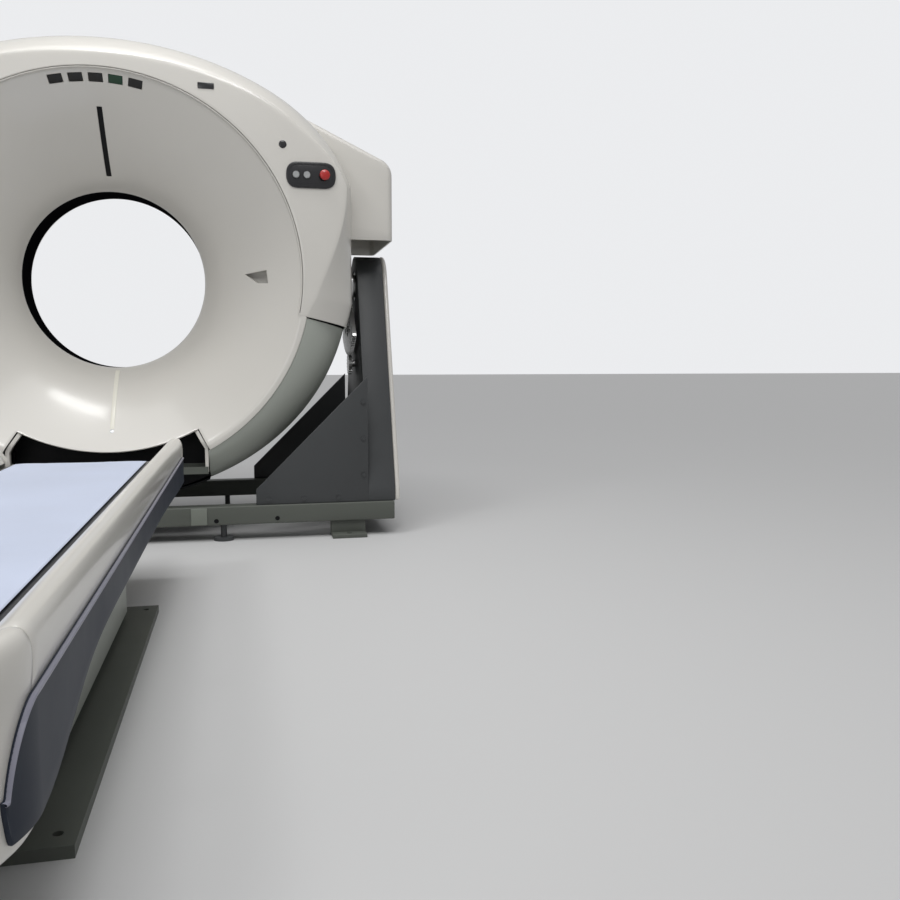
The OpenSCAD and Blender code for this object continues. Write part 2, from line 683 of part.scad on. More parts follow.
module levelling_feet() {
  color(DARK) for (x = [-420, 420]) for (s = [-1, 1]) translate([x, s * beam_y, 0]) {
    cylinder(r = 40, h = 14);
    cylinder(r = 12, h = frame_low - seat);
  }
}

// Main bearing and what stays still beside the rotor
bearing_gap = 0.5;
bearing_split_r = bearing_bore_r + 40;
module bearing_outer() {
  color(STEEL) at_iso() ring(bearing_split_r + bearing_gap, bearing_bore_r + 110, rotor_y + rotor_plate + 1, plate_y);
}
stator_out_r = rotor_r - 25;
stator_in_r = rotor_r - 85;
module drive_stator() {
  color([0.6, 0.35, 0.2]) at_iso() ring(stator_in_r, stator_out_r, plate_y - 24, plate_y);
}
module brush_block() {
  color(DARK) at_iso() intersection() {
    ring(bearing_split_r + 0.5, bearing_bore_r + 70 - seat, plate_y + 8, plate_y + 66);
    box([-70, plate_y, 0], [70, plate_y + 70, rotor_r]);
  }
}

// Rotor
rotor_back = rotor_y + rotor_plate;
lighten_r = (bearing_bore_r + rotor_r) / 2 - 15;
module rotor_frame() {
  color([0.45, 0.5, 0.56]) at_iso() difference() {
    union() {
      ring(bearing_bore_r, rotor_r, rotor_y, rotor_back);
      ring(bearing_bore_r, bearing_split_r, rotor_back - 1, plate_y + 2);
      ring(rotor_r - 12, rotor_r, -60, rotor_back);
      ring(stator_in_r, stator_out_r, rotor_back - 1, plate_y - 24 - 1.5);
    }
    for (a = [15:30:345]) rotate([0, a, 0]) translate([lighten_r, 0, 0]) rod_y(45, rotor_y - 1, rotor_back + 1);
  }
}
tube_z = rotor_r - 145;
collimator_z0 = bore_r + 120;
module xray_tube() {
  color(STEEL) at_iso() translate([0, 0, tube_z]) union() {
    rod_y(90, -150, rotor_y);
    rod_y(110, -60, 60);
    rod_y(98, 60, 100);
    for (y = [-130, -112, -94]) rod_y(95, y, y + 8);
    box([-70, -60, -110], [70, 60, -40]);
    for (x = [-50, 50]) translate([x, 0, 0]) rod_y(16, -176, -140);
  }
}
module collimator() {
  color(DARK) at_iso() difference() {
    box([-90, -70, collimator_z0], [90, rotor_y, tube_z - 110 - seat]);
    box([-60, -8, collimator_z0 - 1], [60, 8, tube_z]);
  }
}
detector_a = 27;
focus_z = tube_z - 40;
detector_r = focus_z + bore_r + 160;
detector_pitch = 2.4;
module detector() {
  color(DARK) at_iso() difference() {
    intersection() {
      translate([0, 0, focus_z]) ring(detector_r, detector_r + 120, -90, rotor_y);
      slab(-91, rotor_y + 1) polygon([[0, focus_z],
        [-detector_r * 1.4 * sin(detector_a), focus_z - detector_r * 1.4 * cos(detector_a)],
        [detector_r * 1.4 * sin(detector_a), focus_z - detector_r * 1.4 * cos(detector_a)]]);
      rod_y(rotor_r - 14, -92, rotor_y + 1);
    }
    translate([0, 0, focus_z]) ring(detector_r - 1, detector_r + 20, -20, 20);
    translate([0, 0, focus_z]) for (i = [-9:9]) rotate([0, i * detector_pitch, 0])
      box([-2, -91, -detector_r - 12], [2, -30, -detector_r + 5]);
  }
}
module generator() {
  color(GREY) at_iso() both_sides() rotate([0, -18, 0]) difference() {
    box([bore_r + 160, -110, -150], [rotor_r - 55, rotor_y, 90]);
    for (i = [0:6]) box([bore_r + 180, -111, -130 + i * 30], [rotor_r - 75, -104, -118 + i * 30]);
  }
}
module heat_exchanger() {
  color(STEEL) at_iso() both_sides() rotate([0, -52, 0]) difference() {
    box([bore_r + 160, -100, -90], [rotor_r - 65, rotor_y, 90]);
    for (i = [0:7]) box([bore_r + 159, -90 + i * 26, -70], [bore_r + 200, -78 + i * 26, 70]);
  }
}
module slip_ring() {
  track = 6;
  color([0.72, 0.5, 0.25]) at_iso() spun(concat(
    [[bearing_bore_r, plate_y + 2], [bearing_split_r, plate_y + 2]],
    [for (i = [0:4]) each let (y = plate_y + 10 + i * 11)
      [[bearing_split_r, y], [bearing_split_r - 4, y], [bearing_split_r - 4, y + track], [bearing_split_r, y + track]]],
    [[bearing_split_r, plate_y + 68], [bearing_bore_r, plate_y + 68]]));
}

// Couch, drawn along Y from its tail towards the gantry
couch_y1 = -couch_gap;
couch_y0 = couch_y1 - couch_len;
rail_in_x = top_half_w + 15;
rail_w = couch_half_w - rail_in_x;
edge_wall = 5;
shell_w = rail_w - edge_wall - 1;
body_y1 = couch_y1 - 26;
corner_r = 70;
turn_y = couch_y0 + rail_w + corner_r;
panel_top_z = rail_h - 64;
top_z = rail_h - 116;
keel_z = rail_h - 150;
keel_dip = 66;
keel_dip_y = couch_y0 + 160;
feed_ratio = 2.3;
// Height of the body's lower edge, which dips under the tail
function low_z(y) = keel_z - keel_dip * exp(-pow((y - keel_dip_y) / 230, 2)) - 23 * ease(y, couch_y1 - 1000, couch_y1 + 50);
// Thin wall of the edge moulding, as distance out from its inner line and height
function edge_section(y) = let (low = low_z(y))
  [[0, rail_h - 70], [6, rail_h - 58], [24, rail_h - 36], [48, rail_h - 13], [64, rail_h - 2], [73, rail_h],
   [shell_w + 2, rail_h - 10], [shell_w + 1, rail_h - 40], [shell_w, panel_top_z], [shell_w, low + 28],
   [shell_w - 14, low + 4], [shell_w - 30, low],
   [shell_w - 30, low + edge_wall], [shell_w - 17, low + edge_wall + 4], [shell_w - edge_wall, low + 30],
   [shell_w - edge_wall, panel_top_z], [shell_w - edge_wall, rail_h - 40], [shell_w - edge_wall + 1, rail_h - 12],
   [69, rail_h - edge_wall], [64, rail_h - edge_wall - 2], [50, rail_h - 20], [28, rail_h - 41],
   [10, rail_h - 62], [5, rail_h - 74]];
// One station of the moulding: a place on its inner line and the way out from there
function edge_place(place, turn, y_low) = [for (p = edge_section(y_low))
  [place[0] + p[0] * cos(turn), place[1] + p[0] * sin(turn), p[1]]];
function tail_corner(t) = [rail_in_x - corner_r, turn_y] + corner_r * [cos(t), sin(t)];
rail_ys = concat([for (y = [turn_y + seat:120:body_y1 - 100]) y], [body_y1]);
module rail_covers() {
  color(IVORY) both_sides() loft(reversed([for (y = rail_ys) edge_place([rail_in_x, y], 0, y)]));
}
tail_turns = [for (i = [0:8]) -i * 90 / 8];
module couch_tail() {
  right = [for (t = tail_turns) edge_place(tail_corner(t), t, turn_y)];
  left = [for (t = tail_turns) edge_place(tail_corner(-90) - [2 * (rail_in_x - corner_r), 0]
    + corner_r * ([cos(t - 90), sin(t - 90)] - [0, -1]), t - 90, turn_y)];
  color(IVORY) loft(concat(right, left));
}
// Slate panel on the side, round at the tail, where it runs into the corner
panel_turn = 50;
function panel_share(i) = sqrt(max(0, 1 - pow(1 - min(1, i / 8), 2)));
function panel_station(place, turn, y_low, share) =
  let (low = low_z(y_low) + 26, mid = lerp(low, panel_top_z, 0.5), h = (panel_top_z - low) / 2 * share,
    u0 = shell_w + seat, u1 = rail_w)
  [for (p = [[u0, mid + h], [u1 - 1.5, mid + h], [u1, mid + h - 3 * share], [u1, mid - h + 6 * share],
    [u1 - 2.5, mid - h], [u0, mid - h]])
    [place[0] + p[0] * cos(turn), place[1] + p[0] * sin(turn), p[1]]];
module side_panels() {
  bend = [for (i = [0:8]) let (turn = -panel_turn * (1 - i / 8))
    panel_station(tail_corner(turn), turn, turn_y, max(0.12, panel_share(i + 0.2)))];
  straight = [for (y = rail_ys) if (y > turn_y + 1) panel_station([rail_in_x, y], 0, y, 1)];
  color(SLATE) both_sides() loft(reversed(concat(bend, straight)));
}
// Cover over the rails' ends beside the gantry, rounded at its rim
nose_cover_t = couch_y1 - body_y1;
nose_half_w = couch_half_w - 3;
nose_low = low_z(couch_y1 + 50);
nose_half = [[nose_half_w - 30, nose_low], [nose_half_w, nose_low + 40], [nose_half_w, rail_h - 40],
  [nose_half_w - 3, rail_h - 18], [nose_half_w - 14, rail_h - 1], [nose_half_w - 26, rail_h - 3],
  [rail_in_x + 24, rail_h - 36], [rail_in_x, rail_h - 62], [rail_in_x, top_z - 10]];
module couch_nose() {
  color(IVORY) intersection() {
    slab(body_y1 + seat, couch_y1) polygon(concat(nose_half, reversed([for (p = nose_half) [-p[0], p[1]]])));
    linear_extrude(rail_h) polygon([[-nose_half_w, body_y1], [nose_half_w, body_y1], [nose_half_w, couch_y1 - 12],
      [nose_half_w - 3, couch_y1 - 5], [nose_half_w - 12, couch_y1], [12 - nose_half_w, couch_y1],
      [3 - nose_half_w, couch_y1 - 5], [-nose_half_w, couch_y1 - 12]]);
    across(-couch_half_w, couch_half_w) polygon([[body_y1, 0], [couch_y1 - 10, nose_low - 1], [couch_y1, nose_low + 9],
      [couch_y1, rail_h - 12], [couch_y1 - 4, rail_h - 4], [couch_y1 - 11, rail_h], [body_y1, rail_h]]);
  }
}
frame_x = rail_in_x - 32;
frame_beam = 26;
frame_z0 = rail_h - 181;
frame_z1 = top_z - 22;
frame_y0 = couch_y0 + 190;
roller_ys = [couch_y1 - 90, couch_y1 - 560];
roller_axle_r = 9;
bracket_z = panel_top_z - 30;
module couch_frame() {
  color(STEEL) difference() {
    union() {
      both_sides() difference() {
        box([frame_x, frame_y0, frame_z0], [rail_in_x + 18, body_y1, frame_z1]);
        box([frame_x + 5, frame_y0 - 1, frame_z0 + 5], [rail_in_x + 13, body_y1 + 1, frame_z1 - 5]);
      }
      for (y = [frame_y0, lift_y0 - 60, lift_y1 + 60, body_y1 - 40]) box([-frame_x, y, frame_z0], [frame_x, y + 40, frame_z0 + 16]);
      box([-frame_x, lift_y0 - 20, frame_z0], [frame_x, lift_y1 + 20, frame_z0 + 6]);
      for (y = roller_ys) both_sides() box([frame_x - 12, y - 24, frame_z0], [frame_x + 6, y + 24, frame_z1 - 1]);
      both_sides() for (y = [frame_y0 + 60:480:body_y1 - 60]) {
        box([rail_in_x + 4, y, frame_z1 - 1], [rail_in_x + 10, y + 50, bracket_z]);
        box([rail_in_x + 4, y, bracket_z - 6], [rail_in_x + shell_w - edge_wall - seat, y + 50, bracket_z]);
      }
    }
    for (y = roller_ys) translate([0, y, roller_z]) rod_x(roller_axle_r, -frame_x - 3, frame_x + 3);
  }
}
// Telescoping skirts round the lift, the widest on the couch and the narrowest on the floor
lift_y0 = couch_y0 + 630;
lift_y1 = couch_y1 - 500;
lift_half_w = frame_x - 10;
skirt_z0 = 34;
skirt_drop = 6;
ram_y = (lift_y0 + lift_y1) / 2;
ram_r = 62;
ram_wall = 8;
ram_gap = 1.5;
module skirt_ring(half_w, y0, y1, z0, z1) {
  c = 40;
  translate([0, 0, z0]) linear_extrude(z1 - z0)
    polygon([[-half_w, y0 + c], [c - half_w, y0], [half_w - c, y0], [half_w, y0 + c],
      [half_w, y1 - c], [half_w - c, y1], [c - half_w, y1], [-half_w, y1 - c]]);
}
// One lift stage: a skirt, the plate across its top and the ram tube hanging from it
module lift_stage(level, plate_hole) {
  inset = level * (skirt_wall + skirt_play);
  top = frame_z0 - seat - level * skirt_drop;
  tube_r = ram_r - (3 - level) * (ram_wall + ram_gap);
  difference() {
    union() {
      difference() {
        skirt_ring(lift_half_w - inset, lift_y0 + inset, lift_y1 - inset, skirt_z0, top);
        skirt_ring(lift_half_w - inset - skirt_wall, lift_y0 + inset + skirt_wall, lift_y1 - inset - skirt_wall,
          skirt_z0 - 1, top - (level > 0 && level < 3 ? skirt_drop - skirt_play : -1));
      }
      if (level < 3) translate([0, ram_y, skirt_z0 + 6]) cylinder(r = tube_r, h = top - skirt_z0 - (level > 0 ? 7 : 6));
    }
    if (plate_hole) translate([0, ram_y, skirt_z0 - 1]) cylinder(r = tube_r - ram_wall, h = top);
  }
}
module couch_skirt() {
  color(GREY) lift_stage(0, false);
}
module skirt_2() {
  color(GREY) lift_stage(1, true);
}
module skirt_1() {
  color(GREY) lift_stage(2, true);
}
module couch_base() {
  foot = 60;
  color(STEEL) difference() {
    union() {
      box([-260, lift_y0 - foot, 0], [260, lift_y1 + foot, 20]);
      translate([0, 0, -skirt_z0 + 19]) lift_stage(3, false);
    }
    for (x = [-230, 230]) for (y = [lift_y0 - 20, lift_y1 + 20]) translate([x, y, -1]) cylinder(r = 8, h = 40);
  }
  color(STEEL) translate([0, ram_y, 20]) difference() {
    cylinder(r = ram_r + ram_wall, h = frame_z0 - 20 - 4 * skirt_drop);
    translate([0, 0, 10]) cylinder(r = ram_r, h = frame_z0);
  }
}
feed_y = frame_y0 + 40 + 50 + seat;
drive_wheel_r = 14;
module feed_drive() {
  color(DARK) {
    box([-140, feed_y - 50, frame_z0], [-40, feed_y + 60, frame_z1 - 1]);
    translate([-40, feed_y, frame_z1 - drive_wheel_r - 2]) rod_x(drive_wheel_r, 0, 60);
  }
}
roller_z = top_z - seat - roller_r;
module roller(y) {
  color(STEEL) translate([0, y, roller_z]) {
    rod_x(roller_r, 46 - frame_x, frame_x - 46);
    rod_x(roller_axle_r - run_clear, -frame_x - 2, frame_x + 2);
  }
}
module roller_front() {
  roller(roller_ys[0]);
}
module roller_rear() {
  roller(roller_ys[1]);
}
top_y1 = couch_y1 - 8;
top_y0 = couch_y0 + rail_w + tail_room;
top_flat_w = top_half_w - 93;
top_keel_w = top_half_w - 73;
carriage_half_w = frame_x - 26;
carriage_len = 220;
module couch_top() {
  rear = top_y0 + 10;
  color(BLACK) union() {
    slab(top_y0, top_y1) polygon([
      [-top_half_w, top_z + 24], [-top_half_w, top_z + 38], [-top_half_w + 8, top_z + 40],
      [-top_flat_w, top_z + 24], [top_flat_w, top_z + 24],
      [top_half_w - 8, top_z + 40], [top_half_w, top_z + 38], [top_half_w, top_z + 24],
      [top_keel_w, top_z], [-top_keel_w, top_z]]);
    box([-carriage_half_w, rear, frame_z1 + seat], [carriage_half_w, rear + carriage_len, top_z + 1]);
    both_sides() box([carriage_half_w - 1, rear, frame_z1 + seat], [frame_x + 20, rear + carriage_len, frame_z1 + 12]);
  }
}
module mat() {
  mat_top = top_z + 24 + mat_t;
  under = seat + top_z;
  edge = top_half_w - 2;
  color([0.8, 0.84, 0.93]) slab(top_y0 + 20, top_y1 - 12) polygon([
    [-edge, under + 40], [-edge, mat_top - 6], [8 - edge, mat_top], [edge - 8, mat_top], [edge, mat_top - 6],
    [edge, under + 40], [edge - 6, under + 40], [top_flat_w, under + 24], [-top_flat_w, under + 24],
    [6 - edge, under + 40]]);
}

base_frame();
levelling_feet();
stand_left();
stand_right();
stand_cover_left();
stand_cover_right();
tilt_bearings();
tilt_motor();
tilt_pinion();
tilt_sector();
trunnions();
tilt_frame();
front_cover();
face_ring();
top_cover();
shoulder_left();
shoulder_right();
lower_cover_left();
lower_cover_right();
rear_cover();
notch_liner();
notch_sill();
scan_window();
indicator_windows();
laser_window();
bowl_trim();
grip_recesses();
screw_caps();
panel_left();
panel_right();
estop_left();
estop_right();
key_left_1();
key_left_2();
key_right_1();
key_right_2();
bearing_outer();
drive_stator();
brush_block();
rotor_frame();
xray_tube();
collimator();
detector();
generator();
heat_exchanger();
slip_ring();
couch_base();
skirt_1();
skirt_2();
couch_frame();
couch_skirt();
rail_covers();
side_panels();
couch_tail();
couch_nose();
feed_drive();
roller_front();
roller_rear();
couch_top();
mat();
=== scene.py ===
"""Looks of a computed tomography scanner and its couch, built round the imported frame."""

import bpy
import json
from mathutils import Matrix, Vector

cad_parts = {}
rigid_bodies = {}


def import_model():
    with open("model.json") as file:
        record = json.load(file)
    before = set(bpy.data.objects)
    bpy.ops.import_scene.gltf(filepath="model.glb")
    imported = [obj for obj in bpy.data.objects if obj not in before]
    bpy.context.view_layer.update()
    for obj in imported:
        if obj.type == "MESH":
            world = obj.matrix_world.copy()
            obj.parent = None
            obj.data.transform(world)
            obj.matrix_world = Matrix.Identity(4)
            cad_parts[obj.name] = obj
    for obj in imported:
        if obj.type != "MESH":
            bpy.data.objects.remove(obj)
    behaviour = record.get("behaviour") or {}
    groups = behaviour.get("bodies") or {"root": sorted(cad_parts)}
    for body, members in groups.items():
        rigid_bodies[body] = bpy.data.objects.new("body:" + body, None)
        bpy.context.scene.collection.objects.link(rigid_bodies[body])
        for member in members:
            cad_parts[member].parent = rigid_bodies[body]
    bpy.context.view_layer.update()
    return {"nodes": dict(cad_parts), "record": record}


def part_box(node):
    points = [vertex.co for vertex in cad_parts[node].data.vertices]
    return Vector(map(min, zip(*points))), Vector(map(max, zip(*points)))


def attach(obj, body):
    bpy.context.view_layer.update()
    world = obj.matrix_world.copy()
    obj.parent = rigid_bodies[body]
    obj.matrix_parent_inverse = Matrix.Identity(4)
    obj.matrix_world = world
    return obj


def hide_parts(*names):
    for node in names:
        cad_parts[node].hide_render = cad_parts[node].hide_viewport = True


bl_info = {
    "name": "Tomography scanner",
    "version": (1, 0, 0),
    "blender": (4, 5, 0),
    "location": "3D View > Sidebar > Scanner",
    "description": "Covers, couch, mat and finishes of a scanner with its patient couch",
    "category": "Add Mesh",
}

from contextlib import contextmanager
import json
import math

import bmesh
import bpy
import numpy as np
from mathutils import Matrix, Vector

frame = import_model()
NODES = frame["nodes"]


# Sizes and colours that a user would change

def metres(name, about, value):
    return bpy.props.FloatProperty(name=name, description=about, default=value, unit="LENGTH")


def number(name, about, value):
    return bpy.props.FloatProperty(name=name, description=about, default=value)


def tint(name, about, value):
    return bpy.props.FloatVectorProperty(name=name, description=about, subtype="COLOR", default=value)


class GantrySizes(bpy.types.PropertyGroup):
    """Sizes of the ring housing"""

    axis_height: metres("Scan axis height", "Height of the scan axis above the floor", 1.05)
    bore_radius: metres("Bore radius", "Radius of the patient bore", 0.36)
    bowl_radius: metres("Bowl radius", "Radius of the front funnel's edge", 0.74)
    rear_radius: metres("Rear funnel radius", "Radius of the rear funnel's edge", 0.52)
    flare: number("Flare", "How the funnels open, 1 is a straight cone", 1.3)
    throat: metres("Throat", "Distance from the scan plane to the funnels' narrow ends", 0.085)
    face: metres("Face", "Distance from the scan plane to the front and rear faces", 0.46)
    drum: metres("Drum", "Distance from the scan plane to the bevels' outer ends", 0.30)
    step: metres("Edge step", "Depth of the step between the bowl and the face ring", 0.010)
    wall: metres("Wall", "Thickness of the moulded covers", 0.006)
    crown_height: metres("Crown height", "Height of the housing above the scan axis", 0.895)
    crown_half_width: metres("Crown half width", "Half width of the crown's ellipse", 1.12)
    belly_height: metres("Belly height", "Depth of the housing below the scan axis", 0.885)
    side_half_width: metres("Side half width", "Half width of the housing's flat sides", 0.957)
    shoulder_half_width: metres("Shoulder half width", "Half width over the shoulders", 1.135)
    shoulder_low: metres("Shoulder underside", "Height of the shoulders' underside over the scan axis", 0.170)
    notch_radius: metres("Notch radius", "Radius of the couch notch's top edge", 0.685)
    lower_face_radius: metres("Lower face radius", "Radius where the grey lower covers begin", 0.778)


class CouchSizes(bpy.types.PropertyGroup):
    """Sizes of the patient couch"""

    length: metres("Length", "Length of the couch's body", 2.33)
    end: metres("End", "Distance from the scan plane to the couch's end", 1.0)
    half_width: metres("Half width", "Half width over the side panels", 0.313)
    top_half_width: metres("Top half width", "Half width of the sliding top", 0.213)
    rail_gap: metres("Rail gap", "Room between the sliding top and a rail", 0.015)
    rail_height: metres("Rail height", "Height of the rails' crown above the floor", 0.466)
    corner_radius: metres("Corner radius", "Radius of the rails' inner line at the tail", 0.07)


class ScannerFinish(bpy.types.PropertyGroup):
    """Colours of the finishes"""

    ivory: tint("Ivory", "Moulded covers and rails", (0.665, 0.645, 0.60))
    grey: tint("Grey green", "Lower covers", (0.43, 0.455, 0.41))
    slate: tint("Slate", "Side panels of the couch", (0.020, 0.026, 0.040))
    mat: tint("Mat", "Coated cloth of the mat", (0.575, 0.635, 0.79))
    stand: tint("Stand", "Painted side stands", (0.045, 0.048, 0.05))
    beam: tint("Beam", "Painted floor frame", (0.100, 0.108, 0.094))


def gantry():
    return bpy.context.scene.scanner_gantry


def couch():
    return bpy.context.scene.scanner_couch


def colours():
    return bpy.context.scene.scanner_finish


# Small rules shared by the shapes

def mix(a, b, t):
    return a + (b - a) * t


def ease(x, low, high):
    """From 0 at the low value to 1 at the high value, with soft ends."""
    t = min(1.0, max(0.0, (x - low) / (high - low)))
    return t * t * (3 - 2 * t)


def spread(start, end, count):
    return [mix(start, end, i / (count - 1)) for i in range(count)]


def folded(angle):
    """An angle in degrees from +X, brought to the right half."""
    return 180 - angle if angle > 90 else angle


def ellipse_radius(angle, width, height):
    a = math.radians(angle)
    return 1 / math.hypot(math.cos(a) / width, math.sin(a) / height)


def outline_radius(angle):
    """Radius of the housing's outline about the scan axis."""
    g = gantry()
    a = folded(angle)
    share = ease(a, -15, 50)
    low = ellipse_radius(a, g.side_half_width - 0.002, g.belly_height)
    high = ellipse_radius(a, g.crown_half_width, g.crown_height)
    flat = g.side_half_width / max(math.cos(math.radians(a)), 1e-5)
    return min(mix(low, high, share), flat)


def shoulder_angle():
    """Angle of the corner between the housing's side and the shoulders' underside."""
    g = gantry()
    return math.degrees(math.atan(g.shoulder_low / g.side_half_width))


def face_inset(angle):
    """How far the front face's edge stands inside the outline."""
    a = folded(angle)
    low_edge = gantry().lower_face_radius
    if a < 20:
        share = ease(a, -14, 20)
        return (1 - share) * (outline_radius(-14) - low_edge) + share * 0.034
    if a < 40:
        return mix(0.034, 0.072, ease(a, 20, 40))
    return mix(0.072, 0.095, ease(a, 40, 90))


def bezier(p, count):
    """Points (radius, depth) on a cubic with four control points."""
    out = []
    for t in spread(0, 1, count):
        k = ((1 - t) ** 3, 3 * t * (1 - t) ** 2, 3 * t * t * (1 - t), t ** 3)
        out.append(tuple(sum(w * q[i] for w, q in zip(k, p)) for i in (0, 1)))
    return out


def polar(angle, radius, y):
    """A point round the scan axis."""
    a = math.radians(angle)
    return (radius * math.cos(a), y, gantry().axis_height + radius * math.sin(a))


def funnel_radius(share, edge):
    g = gantry()
    return g.bore_radius + (edge - g.bore_radius) * share ** g.flare


def funnel_share(radius, edge):
    g = gantry()
    return ((radius - g.bore_radius) / (edge - g.bore_radius)) ** (1 / g.flare)


def bowl_depth(radius):
    """Y of the front bowl's surface at a radius."""
    g = gantry()
    return -mix(g.throat, g.face - g.step, funnel_share(radius, g.bowl_radius))


def bowl_place(x, r, spin):
    """Frame on the bowl's surface: X across, Y into the surface, Z outwards from the axis."""
    slope = math.atan2(bowl_depth(r) - bowl_depth(r + 0.01), 0.01)
    return (Matrix.Translation((0, 0, gantry().axis_height)) @ Matrix.Rotation(spin, 4, "Y")
            @ Matrix.Translation((x, bowl_depth(r), r)) @ Matrix.Rotation(slope, 4, "X"))


def window_places():
    r, pitch = WINDOW["radius"], WINDOW["pitch"]
    return [bowl_place(0, r, math.asin((i - 2) * pitch / r)) for i in range(5)]


def grip_place(side):
    """Frame of the finger pocket on the bowl's flank."""
    x = 0.570
    turn = math.atan2(bowl_depth(x + 0.01) - bowl_depth(x), 0.01)
    return (Matrix.Translation((side * x, bowl_depth(x), gantry().axis_height + 0.004))
            @ Matrix.Rotation(side * turn, 4, "Z"))


def face_place(x, z):
    """Frame on the flat front face."""
    g = gantry()
    return Matrix.Translation((x, -g.face, g.axis_height + z))


def panel_place(side, x=0.0):
    """Frame on a control panel, at a distance outwards from its middle."""
    return face_place(side * (PANEL["x"] + x), PANEL["z"])


# Angles of the housing's seams about the scan axis, in degrees from +X
LOW_SEAM = -12
SHOULDER_SEAM = 40
SOFT_EDGE = 40  # faces that meet at more degrees than this keep a sharp edge
NOTCH_HALF = 0.330  # half width of the couch notch at its top edge
LEG_HALF = 0.3715  # half width of the notch between the lower covers
DRUM_GAP = 0.0012  # between the covers over the drum and the bevels
STAND_GAP = 0.046  # between the housing's flat side and a stand
SWAP_X_Y = Matrix(((0, 1, 0, 0), (1, 0, 0, 0), (0, 0, 1, 0), (0, 0, 0, 1)))
ACROSS = Matrix.Rotation(-math.pi / 2, 4, "Z")
WINDOW = {"radius": 0.714, "pitch": 0.070, "half": (0.025, 0.0165)}
LASER = {"half": 0.010, "start": 0.407, "end": 0.627}
GRIP = [(-0.060, 0.014), (0.004, -0.024), (0.058, -0.026), (0.052, 0.027)]
VENT = {"x": 0.660, "half": 0.080, "low": 0.120, "pitch": 0.024, "tall": 0.010, "count": 9}
HUB = {"radius": 0.076, "bore": 0.0662}
BEAM_HOLES = ((0.393, 0.058), (0.632, 0.055))  # from the middle, and under the front beam's top
SPLICE = (0.296, 0.358)  # a splice plate's ends, from the middle
ANCHOR = {"x": 0.920, "y": 0.455, "half": 0.07}
CAP = (0.678, 0.501)  # across and over the scan axis, like the next
FACE_WINDOW = (0.396, 0.701)
PANEL = {"x": 0.785, "z": 0.388, "keys": (-0.058, -0.016), "stop": 0.052, "half": (0.096, 0.050)}


# Meshes

@contextmanager
def editing(piece):
    """Opens a piece's mesh for bmesh and writes it back."""
    bm = bmesh.new()
    bm.from_mesh(piece.data)
    yield bm
    bm.to_mesh(piece.data)
    bm.free()


def linked(name, data):
    piece = bpy.data.objects.new(name, data)
    bpy.context.scene.collection.objects.link(piece)
    return piece


def new_object(name, vertices, faces):
    mesh = bpy.data.meshes.new(name)
    mesh.from_pydata([tuple(v) for v in vertices], [], faces)
    mesh.validate()
    piece = linked(name, mesh)
    smooth(piece)
    return piece


def smooth(piece, angle=None):
    piece.data.shade_smooth()
    if angle is not None:
        piece.data.set_sharp_from_angle(angle=math.radians(angle))


def lattice(name, rows, round_rows=False, round_columns=False, flip=False):
    """A sheet of quads over rows of points."""
    n, m = len(rows), len(rows[0])
    faces = []
    for i in range(n if round_rows else n - 1):
        for j in range(m if round_columns else m - 1):
            quad = [i * m + j, i * m + (j + 1) % m, (i + 1) % n * m + (j + 1) % m, (i + 1) % n * m + j]
            faces.append(quad[::-1] if flip else quad)
    return new_object(name, [p for row in rows for p in row], faces)


def modified(piece, kind, **settings):
    """Adds one modifier and makes its result the piece's mesh."""
    modifier = piece.modifiers.new(kind.title(), kind)
    for key, value in settings.items():
        setattr(modifier, key, value)
    baked(piece)
    return piece


def baked(piece):
    """Turns what the modifiers make into the piece's own mesh."""
    graph = bpy.context.evaluated_depsgraph_get()
    graph.update()
    mesh = bpy.data.meshes.new_from_object(piece.evaluated_get(graph), depsgraph=graph)
    piece.modifiers.clear()
    old = piece.data
    piece.data = mesh
    mesh.name = old.name
    bpy.data.meshes.remove(old)


def joined(name, pieces, angle=None, weld=0.0):
    """One mesh out of several, welded where their points are closer than the weld."""
    bm = bmesh.new()
    for piece in pieces:
        piece.data.transform(piece.matrix_world)
        bm.from_mesh(piece.data)
        bpy.data.objects.remove(piece)
    if weld:
        bmesh.ops.remove_doubles(bm, verts=bm.verts, dist=weld)
    mesh = bpy.data.meshes.new(name)
    bm.to_mesh(mesh)
    bm.free()
    piece = linked(name, mesh)
    smooth(piece, angle)
    return piece


def walled(piece, thickness, rim=0.0012):
    """Gives a sheet its wall, inwards, and softens the rim."""
    modified(piece, "SOLIDIFY", thickness=thickness, offset=-1.0, use_even_offset=False)
    if rim:
        modified(piece, "BEVEL", width=rim, segments=2, limit_method="ANGLE", angle_limit=math.radians(50),
                 use_clamp_overlap=True)
    smooth(piece, SOFT_EDGE)
    return piece


def shell(name, rows, turn, thickness, rim=0.0012, **how):
    """A sheet over rows of points, turned to face one way and given its wall."""
    piece = lattice(name, rows, **how)
    turn(piece)
    return walled(piece, thickness, rim)


def rounded(piece, width, segments=3, angle=40):
    modified(piece, "BEVEL", width=width, segments=segments, limit_method="ANGLE",
             angle_limit=math.radians(angle), use_clamp_overlap=True)
    smooth(piece, 50)
    return piece


def prism(name, outline, y0, y1):
    """Extrudes an outline of (x, z) points along Y."""
    n = len(outline)
    vertices = [(x, y0, z) for x, z in outline] + [(x, y1, z) for x, z in outline]
    faces = [list(range(n))[::-1], list(range(n, 2 * n))]
    faces += [[i, (i + 1) % n, n + (i + 1) % n, n + i] for i in range(n)]
    piece = new_object(name, vertices, faces)
    outward(piece)
    return piece


def block(name, a, b, edge=0.0):
    """A box between two opposite corners, with soft edges."""
    low, high = zip(*(sorted(ends) for ends in zip(a, b)))
    outline = [(low[0], low[2]), (high[0], low[2]), (high[0], high[2]), (low[0], high[2])]
    piece = prism(name, outline, low[1], high[1])
    return rounded(piece, edge) if edge else piece


